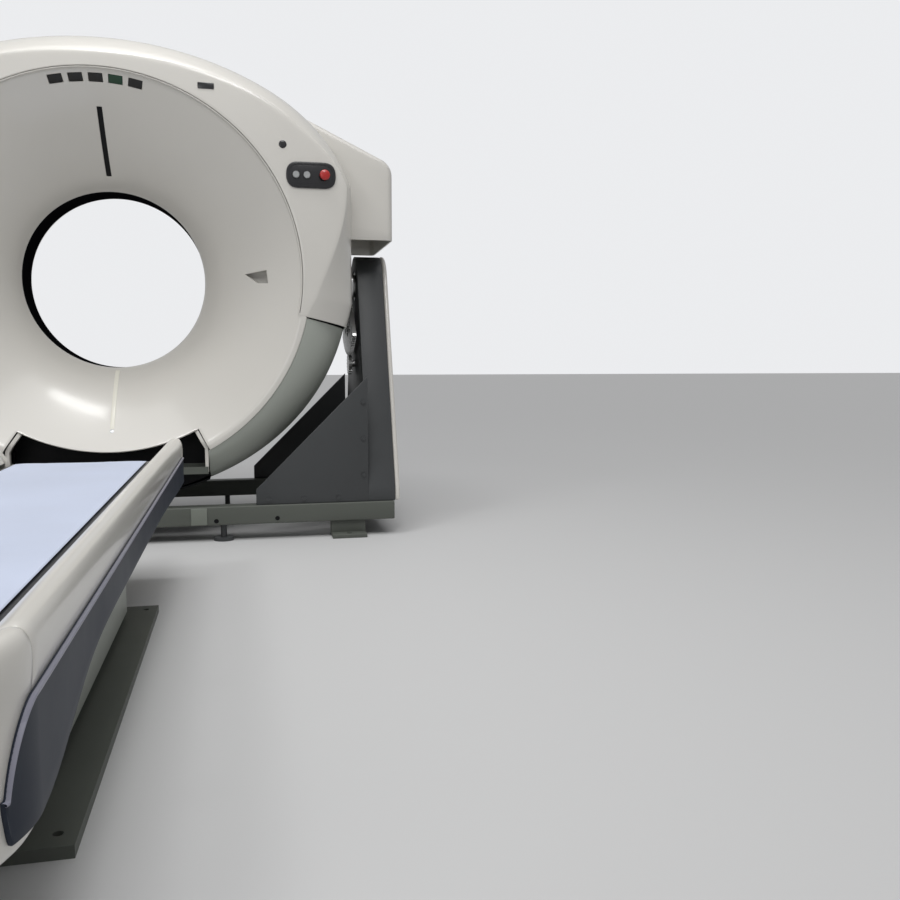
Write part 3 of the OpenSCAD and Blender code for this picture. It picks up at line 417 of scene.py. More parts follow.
def cut(piece, cutters):
    """Takes the cutters out of a solid piece."""
    for cutter in cutters:
        modified(piece, "BOOLEAN", object=cutter, operation="DIFFERENCE", solver="EXACT")
        bpy.data.objects.remove(cutter)
    return piece


def rod(name, place, radius, y0, y1, count=28):
    return turned(name, place, [(0.0, y0), (radius, y0), (radius, y1), (0.0, y1)], count)


def sideways(piece):
    """Turns a piece drawn in the place's X and Z, along Y, so that it is drawn in Y and Z, along X."""
    piece.data.transform(SWAP_X_Y)
    outward(piece)
    return piece


def outward(piece):
    with editing(piece) as bm:
        bmesh.ops.recalc_face_normals(bm, faces=bm.faces)


def capped(piece):
    """Closes a piece's open ends with flat faces."""
    with editing(piece) as bm:
        bmesh.ops.holes_fill(bm, edges=bm.edges, sides=0)
        bmesh.ops.recalc_face_normals(bm, faces=bm.faces)


def facing(piece, score):
    """Makes a sheet's faces agree, and turns them all if most of its area scores below zero."""
    with editing(piece) as bm:
        bmesh.ops.recalc_face_normals(bm, faces=bm.faces)
        if sum(score(f) * f.calc_area() for f in bm.faces) < 0:
            bmesh.ops.reverse_faces(bm, faces=bm.faces)


def facing_front(piece):
    facing(piece, lambda f: -f.normal.y)


def facing_out(piece):
    """Turns the faces of a drum's sheet away from the scan axis."""
    centre = Vector((0, 0, gantry().axis_height))
    facing(piece, lambda f: f.normal.dot((f.calc_center_median() - centre) * Vector((1, 0, 1))))


def facing_up(piece):
    """Turns the faces so that those in the top 20 mm look up."""
    crown = max(v.co.z for v in piece.data.vertices) - 0.02
    facing(piece, lambda f: f.normal.z if f.calc_center_median().z > crown else 0.0)


def mirrored(piece, name):
    """A copy on the other side of the scan axis."""
    mesh = piece.data.copy()
    mesh.transform(Matrix.Scale(-1, 4, (1, 0, 0)))
    mesh.flip_normals()
    return linked(name, mesh)


def both_sides(name, right, angle=SOFT_EDGE):
    """One piece out of a right half and its mirror image."""
    return joined(name, [right, mirrored(right, "twin")], angle)


def round_path(points, radius, steps=5):
    """A closed outline with its corners rounded."""
    out = []
    for i, p in enumerate(points):
        here, a, b = Vector(p), Vector(points[i - 1]), Vector(points[(i + 1) % len(points)])
        back, on = a - here, b - here
        reach = min(radius, 0.48 * back.length, 0.48 * on.length)
        start, end = here + back.normalized() * reach, here + on.normalized() * reach
        for t in spread(0, 1, steps):
            out.append(tuple(start * (1 - t) ** 2 + here * 2 * t * (1 - t) + end * t ** 2))
    return out


def corners(w, h):
    return [(-w, -h), (w, -h), (w, h), (-w, h)]


def box_path(half_width, half_height, radius, steps=6):
    return round_path(corners(half_width, half_height), radius, steps)


def plate(name, place, outline, y0, y1, edge):
    """A plate with soft edges; the outline lies across the place's own Y."""
    piece = rounded(prism(name, outline, y0, y1), edge)
    piece.data.transform(place)
    return piece


def circles(profile, count):
    """Rows of points on circles about Y, one for each (radius, y)."""
    return [[(r * math.cos(a), y, r * math.sin(a)) for a in spread(0, 2 * math.pi, count + 1)[:-1]]
            for r, y in profile]


def turned(name, place, profile, count=40):
    """A closed turned piece from (radius, y) points, from its front to its back, about the place's own Y."""
    piece = lattice(name, circles(profile, count), round_columns=True)
    capped(piece)
    smooth(piece, 35)
    piece.data.transform(place)
    return piece


def opened(piece, centre, reach, sides):
    """Cuts a hole in a sheet; each of its straight sides is a point and the way to its inside."""
    def near():
        return [f for f in bm.faces if (f.calc_center_median() - centre).length < reach]

    with editing(piece) as bm:
        for point, inside in sides:
            faces = near()
            edges = list({e for f in faces for e in f.edges})
            verts = list({v for f in faces for v in f.verts})
            bmesh.ops.bisect_plane(bm, geom=verts + edges + faces, plane_co=point, plane_no=inside)
        hole = [f for f in near() if all((f.calc_center_median() - p).dot(n) > 0 for p, n in sides)]
        bmesh.ops.delete(bm, geom=hole, context="FACES")


def hole_sides(place, outline):
    """The sides of a hole with a convex outline, which runs anticlockwise in the place's X and Z."""
    sides = []
    turn = place.to_3x3()
    for i, a in enumerate(outline):
        b = outline[(i + 1) % len(outline)]
        along = Vector((b[0] - a[0], 0, b[1] - a[1]))
        sides.append((place @ Vector((a[0], 0, a[1])), turn @ Vector((-along.z, 0, along.x)).normalized()))
    return sides


def finished(piece, body, slot, *replaced, finish=None):
    """Gives a piece its material, its body and the nodes that it stands for."""
    piece.data.materials.clear()
    piece.data.materials.append(finishes()[finish or slot])
    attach(piece, body)
    if replaced:
        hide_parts(*replaced)


def finished_pair(right, shell, body, slot, node):
    """Finishes a right piece and its mirror image, for the two nodes of that name."""
    left = mirrored(right, f"{shell}_left")
    finished(right, body, slot, f"{node}_right")
    finished(left, body, slot, f"{node}_left")


def add_node(tree, kind, settings=None, **values):
    """Adds a node; an input is named by its label, or i0, i1 and so on, and takes a value or a link."""
    node = tree.nodes.new(kind)
    for key, value in (settings or {}).items():
        setattr(node, key, value)
    for key, value in values.items():
        by_place = key[0] == "i" and key[1:].isdigit()
        socket = node.inputs[int(key[1:]) if by_place else key.replace("_", " ")]
        if isinstance(value, bpy.types.NodeSocket):
            tree.links.new(value, socket)
        else:
            socket.default_value = value
    return node


# Geometry Nodes

class Tree:
    """Builds one Geometry Nodes tree with named inputs."""

    def __init__(self, name, inputs):
        self.group = bpy.data.node_groups.new(name, "GeometryNodeTree")
        face = self.group.interface
        self.ids = {}
        for label, kind in inputs:
            self.ids[label] = face.new_socket(label, in_out="INPUT", socket_type=kind).identifier
        face.new_socket("Geometry", in_out="OUTPUT", socket_type="NodeSocketGeometry")
        self.source = self.group.nodes.new("NodeGroupInput")
        self.sink = self.group.nodes.new("NodeGroupOutput")

    def input(self, label):
        return self.source.outputs[label]

    def add(self, kind, settings=None, **values):
        return add_node(self.group, kind, settings, **values)

    def math(self, operation, a, b=0.0):
        return self.add("ShaderNodeMath", {"operation": operation}, i0=a, i1=b).outputs[0]

    def finish(self, geometry):
        real = self.add("GeometryNodeRealizeInstances", Geometry=geometry)
        shown = self.add("GeometryNodeSetMaterial", Geometry=real.outputs[0], Material=self.input("Material"))
        self.group.links.new(shown.outputs[0], self.sink.inputs[0])

    def run(self, name, values, mesh=None):
        """Runs the tree on a mesh and returns the plain result."""
        piece = linked(name, mesh or bpy.data.meshes.new(name))
        modifier = piece.modifiers.new(name, "NODES")
        modifier.node_group = self.group
        for label, value in values.items():
            modifier[self.ids[label]] = value
        baked(piece)
        return piece


def funnel_tree():
    """A trumpet between a bore and an edge, as a grid bent round the scan axis."""
    float_kind = "NodeSocketFloat"
    t = Tree("Funnel", [
        ("Turns", "NodeSocketInt"), ("Steps", "NodeSocketInt"), ("Bore Radius", float_kind),
        ("Edge Radius", float_kind), ("Full Share", float_kind), ("Throat", float_kind), ("Face", float_kind),
        ("Flare", float_kind), ("Axis Height", float_kind), ("Material", "NodeSocketMaterial")])
    columns = t.math("ADD", t.input("Turns"), 1.0)
    rows = t.math("ADD", t.input("Steps"), 1.0)
    grid = t.add("GeometryNodeMeshGrid", Size_X=1.0, Size_Y=1.0, Vertices_X=columns, Vertices_Y=rows)
    place = t.add("ShaderNodeSeparateXYZ", i0=t.add("GeometryNodeInputPosition").outputs[0])
    angle = t.math("MULTIPLY", t.math("ADD", place.outputs[0], 0.5), 2 * math.pi)
    share = t.math("MULTIPLY", t.math("ADD", place.outputs[1], 0.5), t.input("Full Share"))
    grown = t.math("POWER", share, t.input("Flare"))
    span = t.math("SUBTRACT", t.input("Edge Radius"), t.input("Bore Radius"))
    radius = t.math("ADD", t.input("Bore Radius"), t.math("MULTIPLY", grown, span))
    depth = t.math("SUBTRACT", t.input("Face"), t.input("Throat"))
    y = t.math("ADD", t.input("Throat"), t.math("MULTIPLY", share, depth))
    x = t.math("MULTIPLY", radius, t.math("COSINE", angle))
    z = t.math("ADD", t.input("Axis Height"), t.math("MULTIPLY", radius, t.math("SINE", angle)))
    spot = t.add("ShaderNodeCombineXYZ", i0=x, i1=y, i2=z)
    bent = t.add("GeometryNodeSetPosition", Geometry=grid.outputs[0], Position=spot.outputs[0])
    closed = t.add("GeometryNodeMergeByDistance", Geometry=bent.outputs[0], Distance=0.0001)
    t.finish(closed.outputs[0])
    return t


def stud_tree():
    """Round-headed studs on points, each along its point's own direction."""
    t = Tree("Studs", [
        ("Points", "NodeSocketGeometry"), ("Radius", "NodeSocketFloat"), ("Height", "NodeSocketFloat"),
        ("Sides", "NodeSocketInt"), ("Material", "NodeSocketMaterial")])
    low = t.add("GeometryNodeMeshCylinder", Vertices=t.input("Sides"), Side_Segments=1, Fill_Segments=1,
                Radius=t.input("Radius"), Depth=t.input("Height"))
    cap = t.add("GeometryNodeMeshCylinder", Vertices=t.input("Sides"), Side_Segments=1, Fill_Segments=1,
                Radius=t.math("MULTIPLY", t.input("Radius"), 0.62),
                Depth=t.math("MULTIPLY", t.input("Height"), 1.35))
    both = t.add("GeometryNodeJoinGeometry")
    t.group.links.new(low.outputs[0], both.inputs[0])
    t.group.links.new(cap.outputs[0], both.inputs[0])
    way = t.add("GeometryNodeInputNamedAttribute", {"data_type": "FLOAT_VECTOR"}, Name="way")
    turn = t.add("FunctionNodeAlignRotationToVector", {"axis": "Z"}, Vector=way.outputs[0])
    points = t.add("GeometryNodeMeshToPoints", Mesh=t.input("Points"))
    placed = t.add("GeometryNodeInstanceOnPoints", Points=points.outputs[0], Instance=both.outputs[0],
                   Rotation=turn.outputs[0])
    t.finish(placed.outputs[0])
    return t


def studs(name, places, radius, height, finish, sides=16):
    """Studs at (point, direction) places."""
    mesh = bpy.data.meshes.new(name)
    mesh.from_pydata([p for p, _ in places], [], [])
    way = mesh.attributes.new("way", "FLOAT_VECTOR", "POINT")
    way.data.foreach_set("vector", [c for _, d in places for c in d])
    piece = trees()["studs"].run(name, {"Radius": radius, "Height": height, "Sides": sides,
                                        "Material": finishes()[finish]}, mesh)
    smooth(piece, SOFT_EDGE)
    return piece


MADE = {}


def trees():
    if not MADE.get("trees"):
        MADE["trees"] = {"funnel": funnel_tree(), "studs": stud_tree()}
    return MADE["trees"]


# Materials

def surface(name):
    """A new material, with its node tree and its shader."""
    material = bpy.data.materials.new(name)
    material.use_nodes = True
    return material, material.node_tree, material.node_tree.nodes["Principled BSDF"]


def bumped(tree, height, strength, distance, **under):
    return add_node(tree, "ShaderNodeBump", Height=height, Strength=strength, Distance=distance,
                    **under).outputs["Normal"]


def shaded(colour, share):
    """A colour made darker or lighter, with its alpha."""
    return (*[min(1.0, c * share) for c in colour], 1)


def paint(name, colour, roughness=0.4, variety=0.06, grain=900.0, bump=0.02, metal=0.0, coat=0.0,
          cloud=2.2, wear=0.0, specular=0.5, spread_of_gloss=0.07):
    """A surface with soft colour clouds, uneven gloss and a fine grain."""
    material, tree, shader = surface(name)
    for label, value in (("Metallic", metal), ("Coat Weight", coat), ("Coat Roughness", 0.12),
                         ("Specular IOR Level", specular)):
        shader.inputs[label].default_value = value
    place = add_node(tree, "ShaderNodeTexCoord").outputs["Object"]

    def noise(scale, detail=3.0, rough=0.55):
        return add_node(tree, "ShaderNodeTexNoise", Scale=scale, Detail=detail, Roughness=rough,
                        Vector=place).outputs["Fac"]

    ramp = add_node(tree, "ShaderNodeValToRGB", Fac=noise(cloud))
    dark, light = ramp.color_ramp.elements
    dark.position, light.position = 0.3, 0.72
    dark.color, light.color = shaded(colour, 1 - variety), shaded(colour, 1 + variety * 0.6)
    last = ramp.outputs["Color"]
    if wear:
        mask = add_node(tree, "ShaderNodeMapRange", From_Min=0.60, From_Max=0.78, To_Max=wear,
                        Value=noise(34.0, 6.0, 0.7))
        last = add_node(tree, "ShaderNodeMix", {"data_type": "RGBA"}, B=shaded(colour, 0.55), A=last,
                        Factor=mask.outputs["Result"]).outputs["Result"]
    tree.links.new(last, shader.inputs["Base Color"])
    gloss = add_node(tree, "ShaderNodeMapRange", To_Min=max(0.03, roughness - spread_of_gloss),
                     To_Max=roughness + spread_of_gloss, Value=noise(7.0, 4.0))
    tree.links.new(gloss.outputs["Result"], shader.inputs["Roughness"])
    if bump:
        tree.links.new(bumped(tree, noise(grain, 2.0), bump, 0.001), shader.inputs["Normal"])
    return material


def cloth(name, colour):
    """Coated cloth with a fine weave and faint creases."""
    material = paint(name, colour, roughness=0.52, variety=0.05, cloud=3.5, bump=0.0)
    tree = material.node_tree
    shader = tree.nodes["Principled BSDF"]
    shader.inputs["Sheen Weight"].default_value = 0.15
    place = tree.nodes["Texture Coordinate"].outputs["Object"]
    waves = [add_node(tree, "ShaderNodeTexWave", {"bands_direction": way}, Scale=260.0, Distortion=0.6,
                      Vector=place).outputs["Fac"] for way in ("X", "Y")]
    weave = add_node(tree, "ShaderNodeMath", {"operation": "MAXIMUM"}, i0=waves[0], i1=waves[1])
    creases = add_node(tree, "ShaderNodeTexNoise", Scale=9.0, Detail=5.0, Vector=place)
    soft = bumped(tree, creases.outputs["Fac"], 0.25, 0.004)
    tree.links.new(bumped(tree, weave.outputs[0], 0.12, 0.0006, Normal=soft), shader.inputs["Normal"])
    return material


def finishes():
    """All the object's materials by name."""
    if MADE.get("finishes"):
        return MADE["finishes"]
    c = colours()
    made = {
        "ivory_cover": paint("ivory moulding", c.ivory, 0.30, 0.03, grain=420.0, bump=0.012, coat=0.5,
                             cloud=1.1, spread_of_gloss=0.03),
        "grey_cover": paint("grey green moulding", c.grey, 0.42, 0.05, grain=420.0, bump=0.06, coat=0.1,
                            wear=0.15),
        "dark_steel": paint("dark painted steel", c.stand, 0.45, 0.12, grain=260.0, bump=0.10, wear=0.2),
        "frame_steel": paint("painted frame steel", c.beam, 0.5, 0.08, grain=300.0, bump=0.05, wear=0.2,
                             specular=0.35),
        # the grip pockets' finish: ivory darkened to paint the shade that falls inside the pockets
        "recess": paint("recess", [v * 0.62 for v in c.ivory], 0.5, 0.04, grain=420.0, bump=0.012, cloud=1.1),
        "splice_steel": paint("splice plates", [v * 2.0 for v in c.beam], 0.45, 0.08, grain=300.0, bump=0.05,
                              specular=0.35),
        # pale strip on the side panels' top edge, a painted highlight where that edge catches the light
        "edge_highlight": paint("painted edge highlight", (0.25, 0.25, 0.31), 0.35, 0.05, grain=500.0, bump=0.02),
        "machined_steel": paint("machined steel", (0.56, 0.56, 0.55), 0.28, 0.05, bump=0.05, metal=1.0),
        "cast_aluminium": paint("cast aluminium", (0.58, 0.59, 0.60), 0.45, 0.06, grain=240.0, bump=0.15,
                                metal=1.0),
        "copper_alloy": paint("copper alloy", (0.55, 0.33, 0.16), 0.3, 0.06, grain=600.0, bump=0.04, metal=1.0),
        "black_plastic": paint("black plastic", (0.012, 0.012, 0.014), 0.22, 0.1, grain=500.0, bump=0.03,
                               coat=0.3),
        "slate_panel": paint("slate side panel", c.slate, 0.5, 0.08, grain=380.0, bump=0.02, specular=0.2),
        "black_shell": paint("black shell", (0.016, 0.017, 0.02), 0.35, 0.10, grain=300.0, bump=0.05),
        "mat_vinyl": cloth("mat cloth", c.mat),
        "key_grey": paint("key grey", (0.35, 0.36, 0.36), 0.4, 0.03, grain=500.0, bump=0.03),
        "stop_red": paint("stop red", (0.42, 0.012, 0.01), 0.3, 0.04, grain=500.0, bump=0.02, coat=0.4),
        "green_lens": paint("green lens", (0.024, 0.062, 0.036), 0.3, 0.1, bump=0.0, specular=0.3),
        "scan_glass": paint("scan window", (0.005, 0.005, 0.006), 0.85, 0.1, bump=0.0, specular=0.0),
        "liner": paint("liner", (0.006, 0.006, 0.007), 0.6, 0.1, grain=300.0, bump=0.05, specular=0.2),
        "slot_glass": paint("slot window", (0.006, 0.006, 0.007), 0.35, 0.1, bump=0.0, specular=0.2),
        "window_glass": paint("dark window", (0.022, 0.021, 0.02), 0.3, 0.1, bump=0.0, specular=0.3),
        "trim": paint("cream trim", (0.80, 0.78, 0.69), 0.35, 0.04, grain=500.0, bump=0.03, coat=0.2),
        "rubber": paint("dark rubber", (0.02, 0.02, 0.02), 0.6, 0.1, grain=300.0, bump=0.1),
    }
    MADE["finishes"] = made
    return made


class FinishNodes(bpy.types.Operator):
    """Give every carried-over piece of the frame its material"""

    bl_idname = "scanner.finish_nodes"
    bl_label = "Finish frame pieces"

    def execute(self, context):
        slots = {s["node"]: s["material_slot"] for s in frame["record"]["subparts"]}
        for name, node in NODES.items():
            node.data.materials.clear()
            node.data.materials.append(finishes()["liner" if name == "notch_liner" else slots[name]])
        return {"FINISHED"}


# Housing

def funnel(name, turns, steps, edge, full, throat, face):
    """A trumpet from the bore towards an edge, up to a share of its full depth."""
    g = gantry()
    return trees()["funnel"].run(name, {
        "Turns": turns, "Steps": steps, "Bore Radius": g.bore_radius, "Edge Radius": edge, "Full Share": full,
        "Throat": throat, "Face": face, "Flare": g.flare, "Axis Height": g.axis_height,
        "Material": finishes()["ivory_cover"]})


class FrontBowl(bpy.types.Operator):
    """Build the trumpet bowl with its edge step and the flat ring round its lower half"""

    bl_idname = "scanner.front_bowl"
    bl_label = "Front bowl"

    turns: bpy.props.IntProperty(name="Turns", description="Divisions round the bowl", default=360)

    def execute(self, context):
        g = gantry()
        full = funnel_share(g.notch_radius, g.bowl_radius)
        inner = funnel("bowl_inner", self.turns, 56, g.bowl_radius, full, -g.throat, -(g.face - g.step))
        notch_edge = math.degrees(math.asin(NOTCH_HALF / g.notch_radius))
        start = -90 + notch_edge
        step = 360 / self.turns
        first = math.ceil(start / step) * step
        angles = [first + i * step for i in range(int(round((180 - 2 * first) / step)) + 1)]
        rows = [[polar(a, r, y) for r, y in self.rim(a)] for a in angles]
        outer = lattice("bowl_rim", rows)
        bowl = joined("front_bowl", [inner, outer], weld=0.0006)
        facing_front(bowl)
        self.openings(bowl)
        walled(bowl, g.wall)
        finished(bowl, "tilting", "ivory_cover", "front_cover")
        return {"FINISHED"}

    def openings(self, bowl):
        """Holes for the windows, the laser slot and the finger recesses."""
        w, h = (half + 0.0006 for half in WINDOW["half"])
        for place in window_places():
            opened(bowl, place.translation, 0.06, hole_sides(place, corners(w, h)))
        middle = (LASER["start"] + LASER["end"]) / 2
        place = Matrix.Translation((0, bowl_depth(middle), gantry().axis_height + middle))
        w, h = LASER["half"], (LASER["end"] - LASER["start"]) / 2
        opened(bowl, place.translation, 0.16, hole_sides(place, corners(w, h)))
        for side in (1, -1):
            place = grip_place(side)
            outline = GRIP if side > 0 else [(-x, z) for x, z in reversed(GRIP)]
            opened(bowl, place.translation, 0.12, hole_sides(place, outline))

    def rim(self, angle):
        """The bowl's outer band, stepped at the top and flowing into the flat ring below."""
        g = gantry()
        low = ease(-folded(angle), -6, 26)
        end = funnel_share(g.notch_radius, g.bowl_radius)
        points = []
        for share in spread(end, 1.0, 14):
            points.append((funnel_radius(share, g.bowl_radius), -mix(g.throat, g.face - g.step, share)))
        edge, face = g.bowl_radius, -g.face
        sharp = [(edge + 0.0006, face + g.step - 0.0012), (edge + 0.0009, face + g.step - 0.004),
                 (edge + 0.0011, face + 0.0035), (edge + 0.002, face + 0.0012), (edge + 0.0035, face + 0.0003)]
        if folded(angle) > LOW_SEAM + 0.1:
            return points + sharp + [(mix(edge + 0.0035, edge + 0.0055, t), face + 0.0003)
                                     for t in spread(0.2, 1, 13)]
        soft = bezier([(edge, face + g.step), (edge + 0.010, face + 0.003), (edge + 0.016, face),
                       (edge + 0.026, face)], 6)[1:]
        tail = [(mix(a[0], b[0], low), mix(a[1], b[1], low)) for a, b in zip(sharp, soft)]
        out = g.lower_face_radius
        flat = [(mix(tail[-1][0], out - 0.004, t), face) for t in spread(0.12, 1, 9)]
        lip = [(out - 0.0012, face + 0.0008), (out, face + 0.004), (out, face + 0.012), (out, face + 0.020)]
        return points + tail + flat + lip


class NotchEdge(bpy.types.Operator):
    """Build the light returns along the two sides of the couch notch"""

    bl_idname = "scanner.notch_edge"
    bl_label = "Notch edge"

    width: metres("Width", "How far a return reaches into the notch", 0.013)

    def execute(self, context):
        g = gantry()
        top, foot = (0.329, -0.604), (0.3690, -0.672)
        path = [(mix(top[0], foot[0], t), mix(top[1], foot[1], t)) for t in spread(0, 1, 9)]
        path += [(0.3692, z) for z in spread(-0.690, -0.768, 5)]
        rows = []
        for x, z in path:
            back = max(bowl_depth(min(math.hypot(x, z), g.bowl_radius)), -g.face) + 0.008
            rows.append([(x - d, back + y, g.axis_height + z - 0.35 * d) for d, y in
                         ((0.0, 0.0), (self.width * 0.8, 0.003), (self.width, 0.006), (self.width, 0.030))])
        right = shell("notch_return_right", rows, facing_front, 0.0022, rim=0)
        finished(both_sides("notch_returns", right), "tilting", "ivory_cover")
        return {"FINISHED"}


class FaceRing(bpy.types.Operator):
    """Build the bevelled ring round the bowl's upper half"""

    bl_idname = "scanner.face_ring"
    bl_label = "Face ring"

    def execute(self, context):
        g = gantry()
        rows = []
        for angle in spread(LOW_SEAM + 0.2, 180 - LOW_SEAM - 0.2, 410):
            f, r = outline_radius(angle) - face_inset(angle), outline_radius(angle)
            inner = g.bowl_radius + 0.0083
            face, b = -g.face, g.face - g.drum
            curve = bezier([(f, face + 0.0025), (f + (r - f) * 0.38, face + b * 0.16),
                            (f + (r - f) * 0.99, face + b * 0.58), (r, -g.drum - 0.001)], 26)
            start = bezier([(f - 0.022, face), (f - 0.008, face), (f - 0.003, face + 0.0012),
                            (f, face + 0.0025)], 6)
            flat = [(mix(inner + 0.0015, f - 0.022, t), face) for t in spread(0, 1, 12)]
            lip = [(inner, face + 0.012), (inner, face + 0.003), (inner + 0.0004, face + 0.0007)]
            rows.append([polar(angle, p[0], p[1]) for p in lip + flat + start[1:] + curve[1:]])
        ring = shell("face_ring_shell", rows, facing_front, g.wall)
        finished(ring, "tilting", "ivory_cover", "face_ring")
        return {"FINISHED"}


class TopCover(bpy.types.Operator):
    """Build the cover over the drum between the shoulders"""

    bl_idname = "scanner.top_cover"
    bl_label = "Top cover"

    def execute(self, context):
        g = gantry()
        edge = g.drum - DRUM_GAP
        rows = []
        for angle in spread(SHOULDER_SEAM + 0.08, 180 - SHOULDER_SEAM - 0.08, 160):
            r = outline_radius(angle)
            rows.append([polar(angle, r - d, y) for y, d in
                         [(-edge, 0.002), (-edge + 0.001, 0.0005), (-edge + 0.004, 0)]
                         + [(y, 0) for y in spread(-edge + 0.02, edge - 0.02, 8)]
                         + [(edge - 0.004, 0), (edge - 0.001, 0.0005), (edge, 0.002)]])
        cover = shell("top_shell", rows, facing_out, g.wall, flip=True)
        finished(cover, "tilting", "ivory_cover", "top_cover")
        return {"FINISHED"}


def drum_band(name, start, end, count, edge, steps):
    """A part of the drum between two angles, as far as its edge on both sides of the scan plane."""
    rows = [[polar(a, outline_radius(a), y) for y in spread(-edge, edge, steps)]
            for a in spread(start, end, count)]
    return shell(name, rows, facing_out, gantry().wall)


class Shoulders(bpy.types.Operator):
    """Build the wide upper corners behind the face ring"""

    bl_idname = "scanner.shoulders"
    bl_label = "Shoulders"

    slope: number("Slope", "Fall of the shoulder's top", 0.535)
    bend: metres("Bend", "Radius of the outer corner", 0.075)

    def execute(self, context):
        g = gantry()
        low = g.shoulder_low
        seam = math.radians(SHOULDER_SEAM)
        x0 = outline_radius(SHOULDER_SEAM) * math.cos(seam) + 0.022
        z0 = outline_radius(SHOULDER_SEAM) * math.sin(seam) + 0.001
        turn = 90 - math.degrees(math.atan(self.slope))
        bx = g.shoulder_half_width - self.bend
        bz = z0 - (bx - x0) * self.slope - self.bend * math.cos(math.atan(self.slope))
        arc = [(bx + self.bend * math.cos(math.radians(a)), bz + self.bend * math.sin(math.radians(a)))
               for a in spread(turn, 0, 14)]
        top = [(x0 - 0.022, z0 - 0.09), (x0 - 0.0215, z0 - 0.012), (x0 - 0.012, z0 - 0.001), (x0, z0)]
        drop = [(g.shoulder_half_width, mix(arc[-1][1], low, t)) for t in spread(0.15, 1, 8)]
        fall = [(mix(x0, arc[0][0], t), mix(z0, arc[0][1], t)) for t in spread(0.08, 0.92, 8)]
        path = top + fall + arc + drop
        centre = (x0 - 0.05, low + 0.1)
        rows = [[self.inset(p, centre, shrink, y) for p in path]
                for y, shrink in self.ends(g.drum - 0.014, 0.026)]
        wing = shell("wing", rows, facing_out, g.wall)
        band = drum_band("band", shoulder_angle() + 0.06, SHOULDER_SEAM - 0.1, 40, g.drum - 0.001, 10)
        right = joined("shoulder_shell_right", [wing, band], SOFT_EDGE)
        finished_pair(right, "shoulder_shell", "tilting", "ivory_cover", "shoulder")
        return {"FINISHED"}

    def ends(self, half, bevel):
        """Depth and shrink of the sections, with a round edge and a flat front and rear."""
        turn = [(half - bevel + bevel * math.sin(a), bevel * (1 - math.cos(a)))
                for a in spread(0, math.pi / 2, 7)]
        walls = [(half, bevel + 0.05), (half, bevel + 0.14), (half, bevel + 0.26)]
        front = [(-y, s) for y, s in reversed(turn + walls)]
        return front + [(y, 0.0) for y in spread(-half + bevel + 0.05, half - bevel - 0.05, 6)] + turn + walls

    def inset(self, p, centre, shrink, y):
        """A point drawn towards the section's centre, but not under the shoulder's underside."""
        x, z = p
        low = gantry().shoulder_low
        dx, dz = centre[0] - x, 0 if z <= low + 0.001 else centre[1] - z
        k = min(shrink / max(math.hypot(dx, dz), 1e-6), 0.9)
        return (x + dx * k, y, gantry().axis_height + max(z + dz * k, low))


class LowerCovers(bpy.types.Operator):
    """Build the grey covers under the bevelled ring, from the shoulders to the couch notch"""

    bl_idname = "scanner.lower_covers"
    bl_label = "Lower covers"

    def execute(self, context):
        g = gantry()
        split, inner = LOW_SEAM - 0.15, g.lower_face_radius + 0.0008
        rows = []
        for t in spread(0, 1, 120):
            row = []
            for share, y in self.section():
                r = mix(inner, outline_radius(mix(-64, split, t)), share)
                first = -math.degrees(math.acos(min(1.0, LEG_HALF / r)))
                a = mix(first, split, t)
                row.append(polar(a, mix(inner, outline_radius(a), share), y))
            rows.append(row)
        lower = shell("lower", rows, facing_out, g.wall)
        side = drum_band("side", split, shoulder_angle() - 0.06, 30, g.drum - DRUM_GAP, 20)
        right = joined("lower_shell_right", [lower, side], SOFT_EDGE)
        finished_pair(right, "lower_shell", "tilting", "grey_cover", "lower_cover")
        return {"FINISHED"}

    def section(self):
        """Share of the way out to the outline, and depth."""
        g = gantry()
        start = -g.face + 0.0075
        end = -g.drum + 0.10
        curve = bezier([(0, start), (0.42, start + (end - start) * 0.10),
                        (0.99, start + (end - start) * 0.55), (1, end)], 30)
        return curve + [(1.0, y) for y in spread(end + 0.03, g.drum - DRUM_GAP, 14)]


class RearCover(bpy.types.Operator):
    """Build the rear cover with its funnel"""

    bl_idname = "scanner.rear_cover"
    bl_label = "Rear cover"

    turns: bpy.props.IntProperty(name="Turns", description="Divisions round the cover", default=360)

    def execute(self, context):
        g = gantry()
        inner = funnel("rear_funnel", self.turns, 36, g.rear_radius, 1.0, g.throat, g.face - 0.004)
        rows = []
        for i in range(self.turns):
            angle = -90 + i * 360 / self.turns
            r = outline_radius(angle)
            f, face, b = r - 0.125, g.face, g.face - g.drum
            edge = g.rear_radius
            lip = bezier([(edge, face - 0.004), (edge + 0.006, face), (edge + 0.01, face),
                          (edge + 0.02, face)], 5)
            flat = [(mix(edge + 0.02, f, t), face) for t in spread(0.1, 1, 12)]
            curve = bezier([(f, face), (f + 0.06, face - 0.002), (r, face - b * 0.5), (r, g.drum + 0.001)], 22)
            rows.append([polar(angle, *p) for p in lip + flat + curve[1:]])
        body = lattice("rear_body", rows, round_rows=True)
        cover = joined("rear_shell", [inner, body], weld=0.0006)
        facing(cover, lambda f: f.normal.y)
        walled(cover, g.wall)
        heights = [VENT["low"] + i * VENT["pitch"] for i in range(VENT["count"])]
        slots = [block("slot", (side * VENT["x"] - VENT["half"], g.face - 0.020, g.axis_height + z),
                       (side * VENT["x"] + VENT["half"], g.face + 0.020, g.axis_height + z + VENT["tall"]))
                 for side in (1, -1) for z in heights]
        cut(cover, [joined("slots", slots)])
        smooth(cover, SOFT_EDGE)
        finished(cover, "tilting", "ivory_cover", "rear_cover")
        return {"FINISHED"}


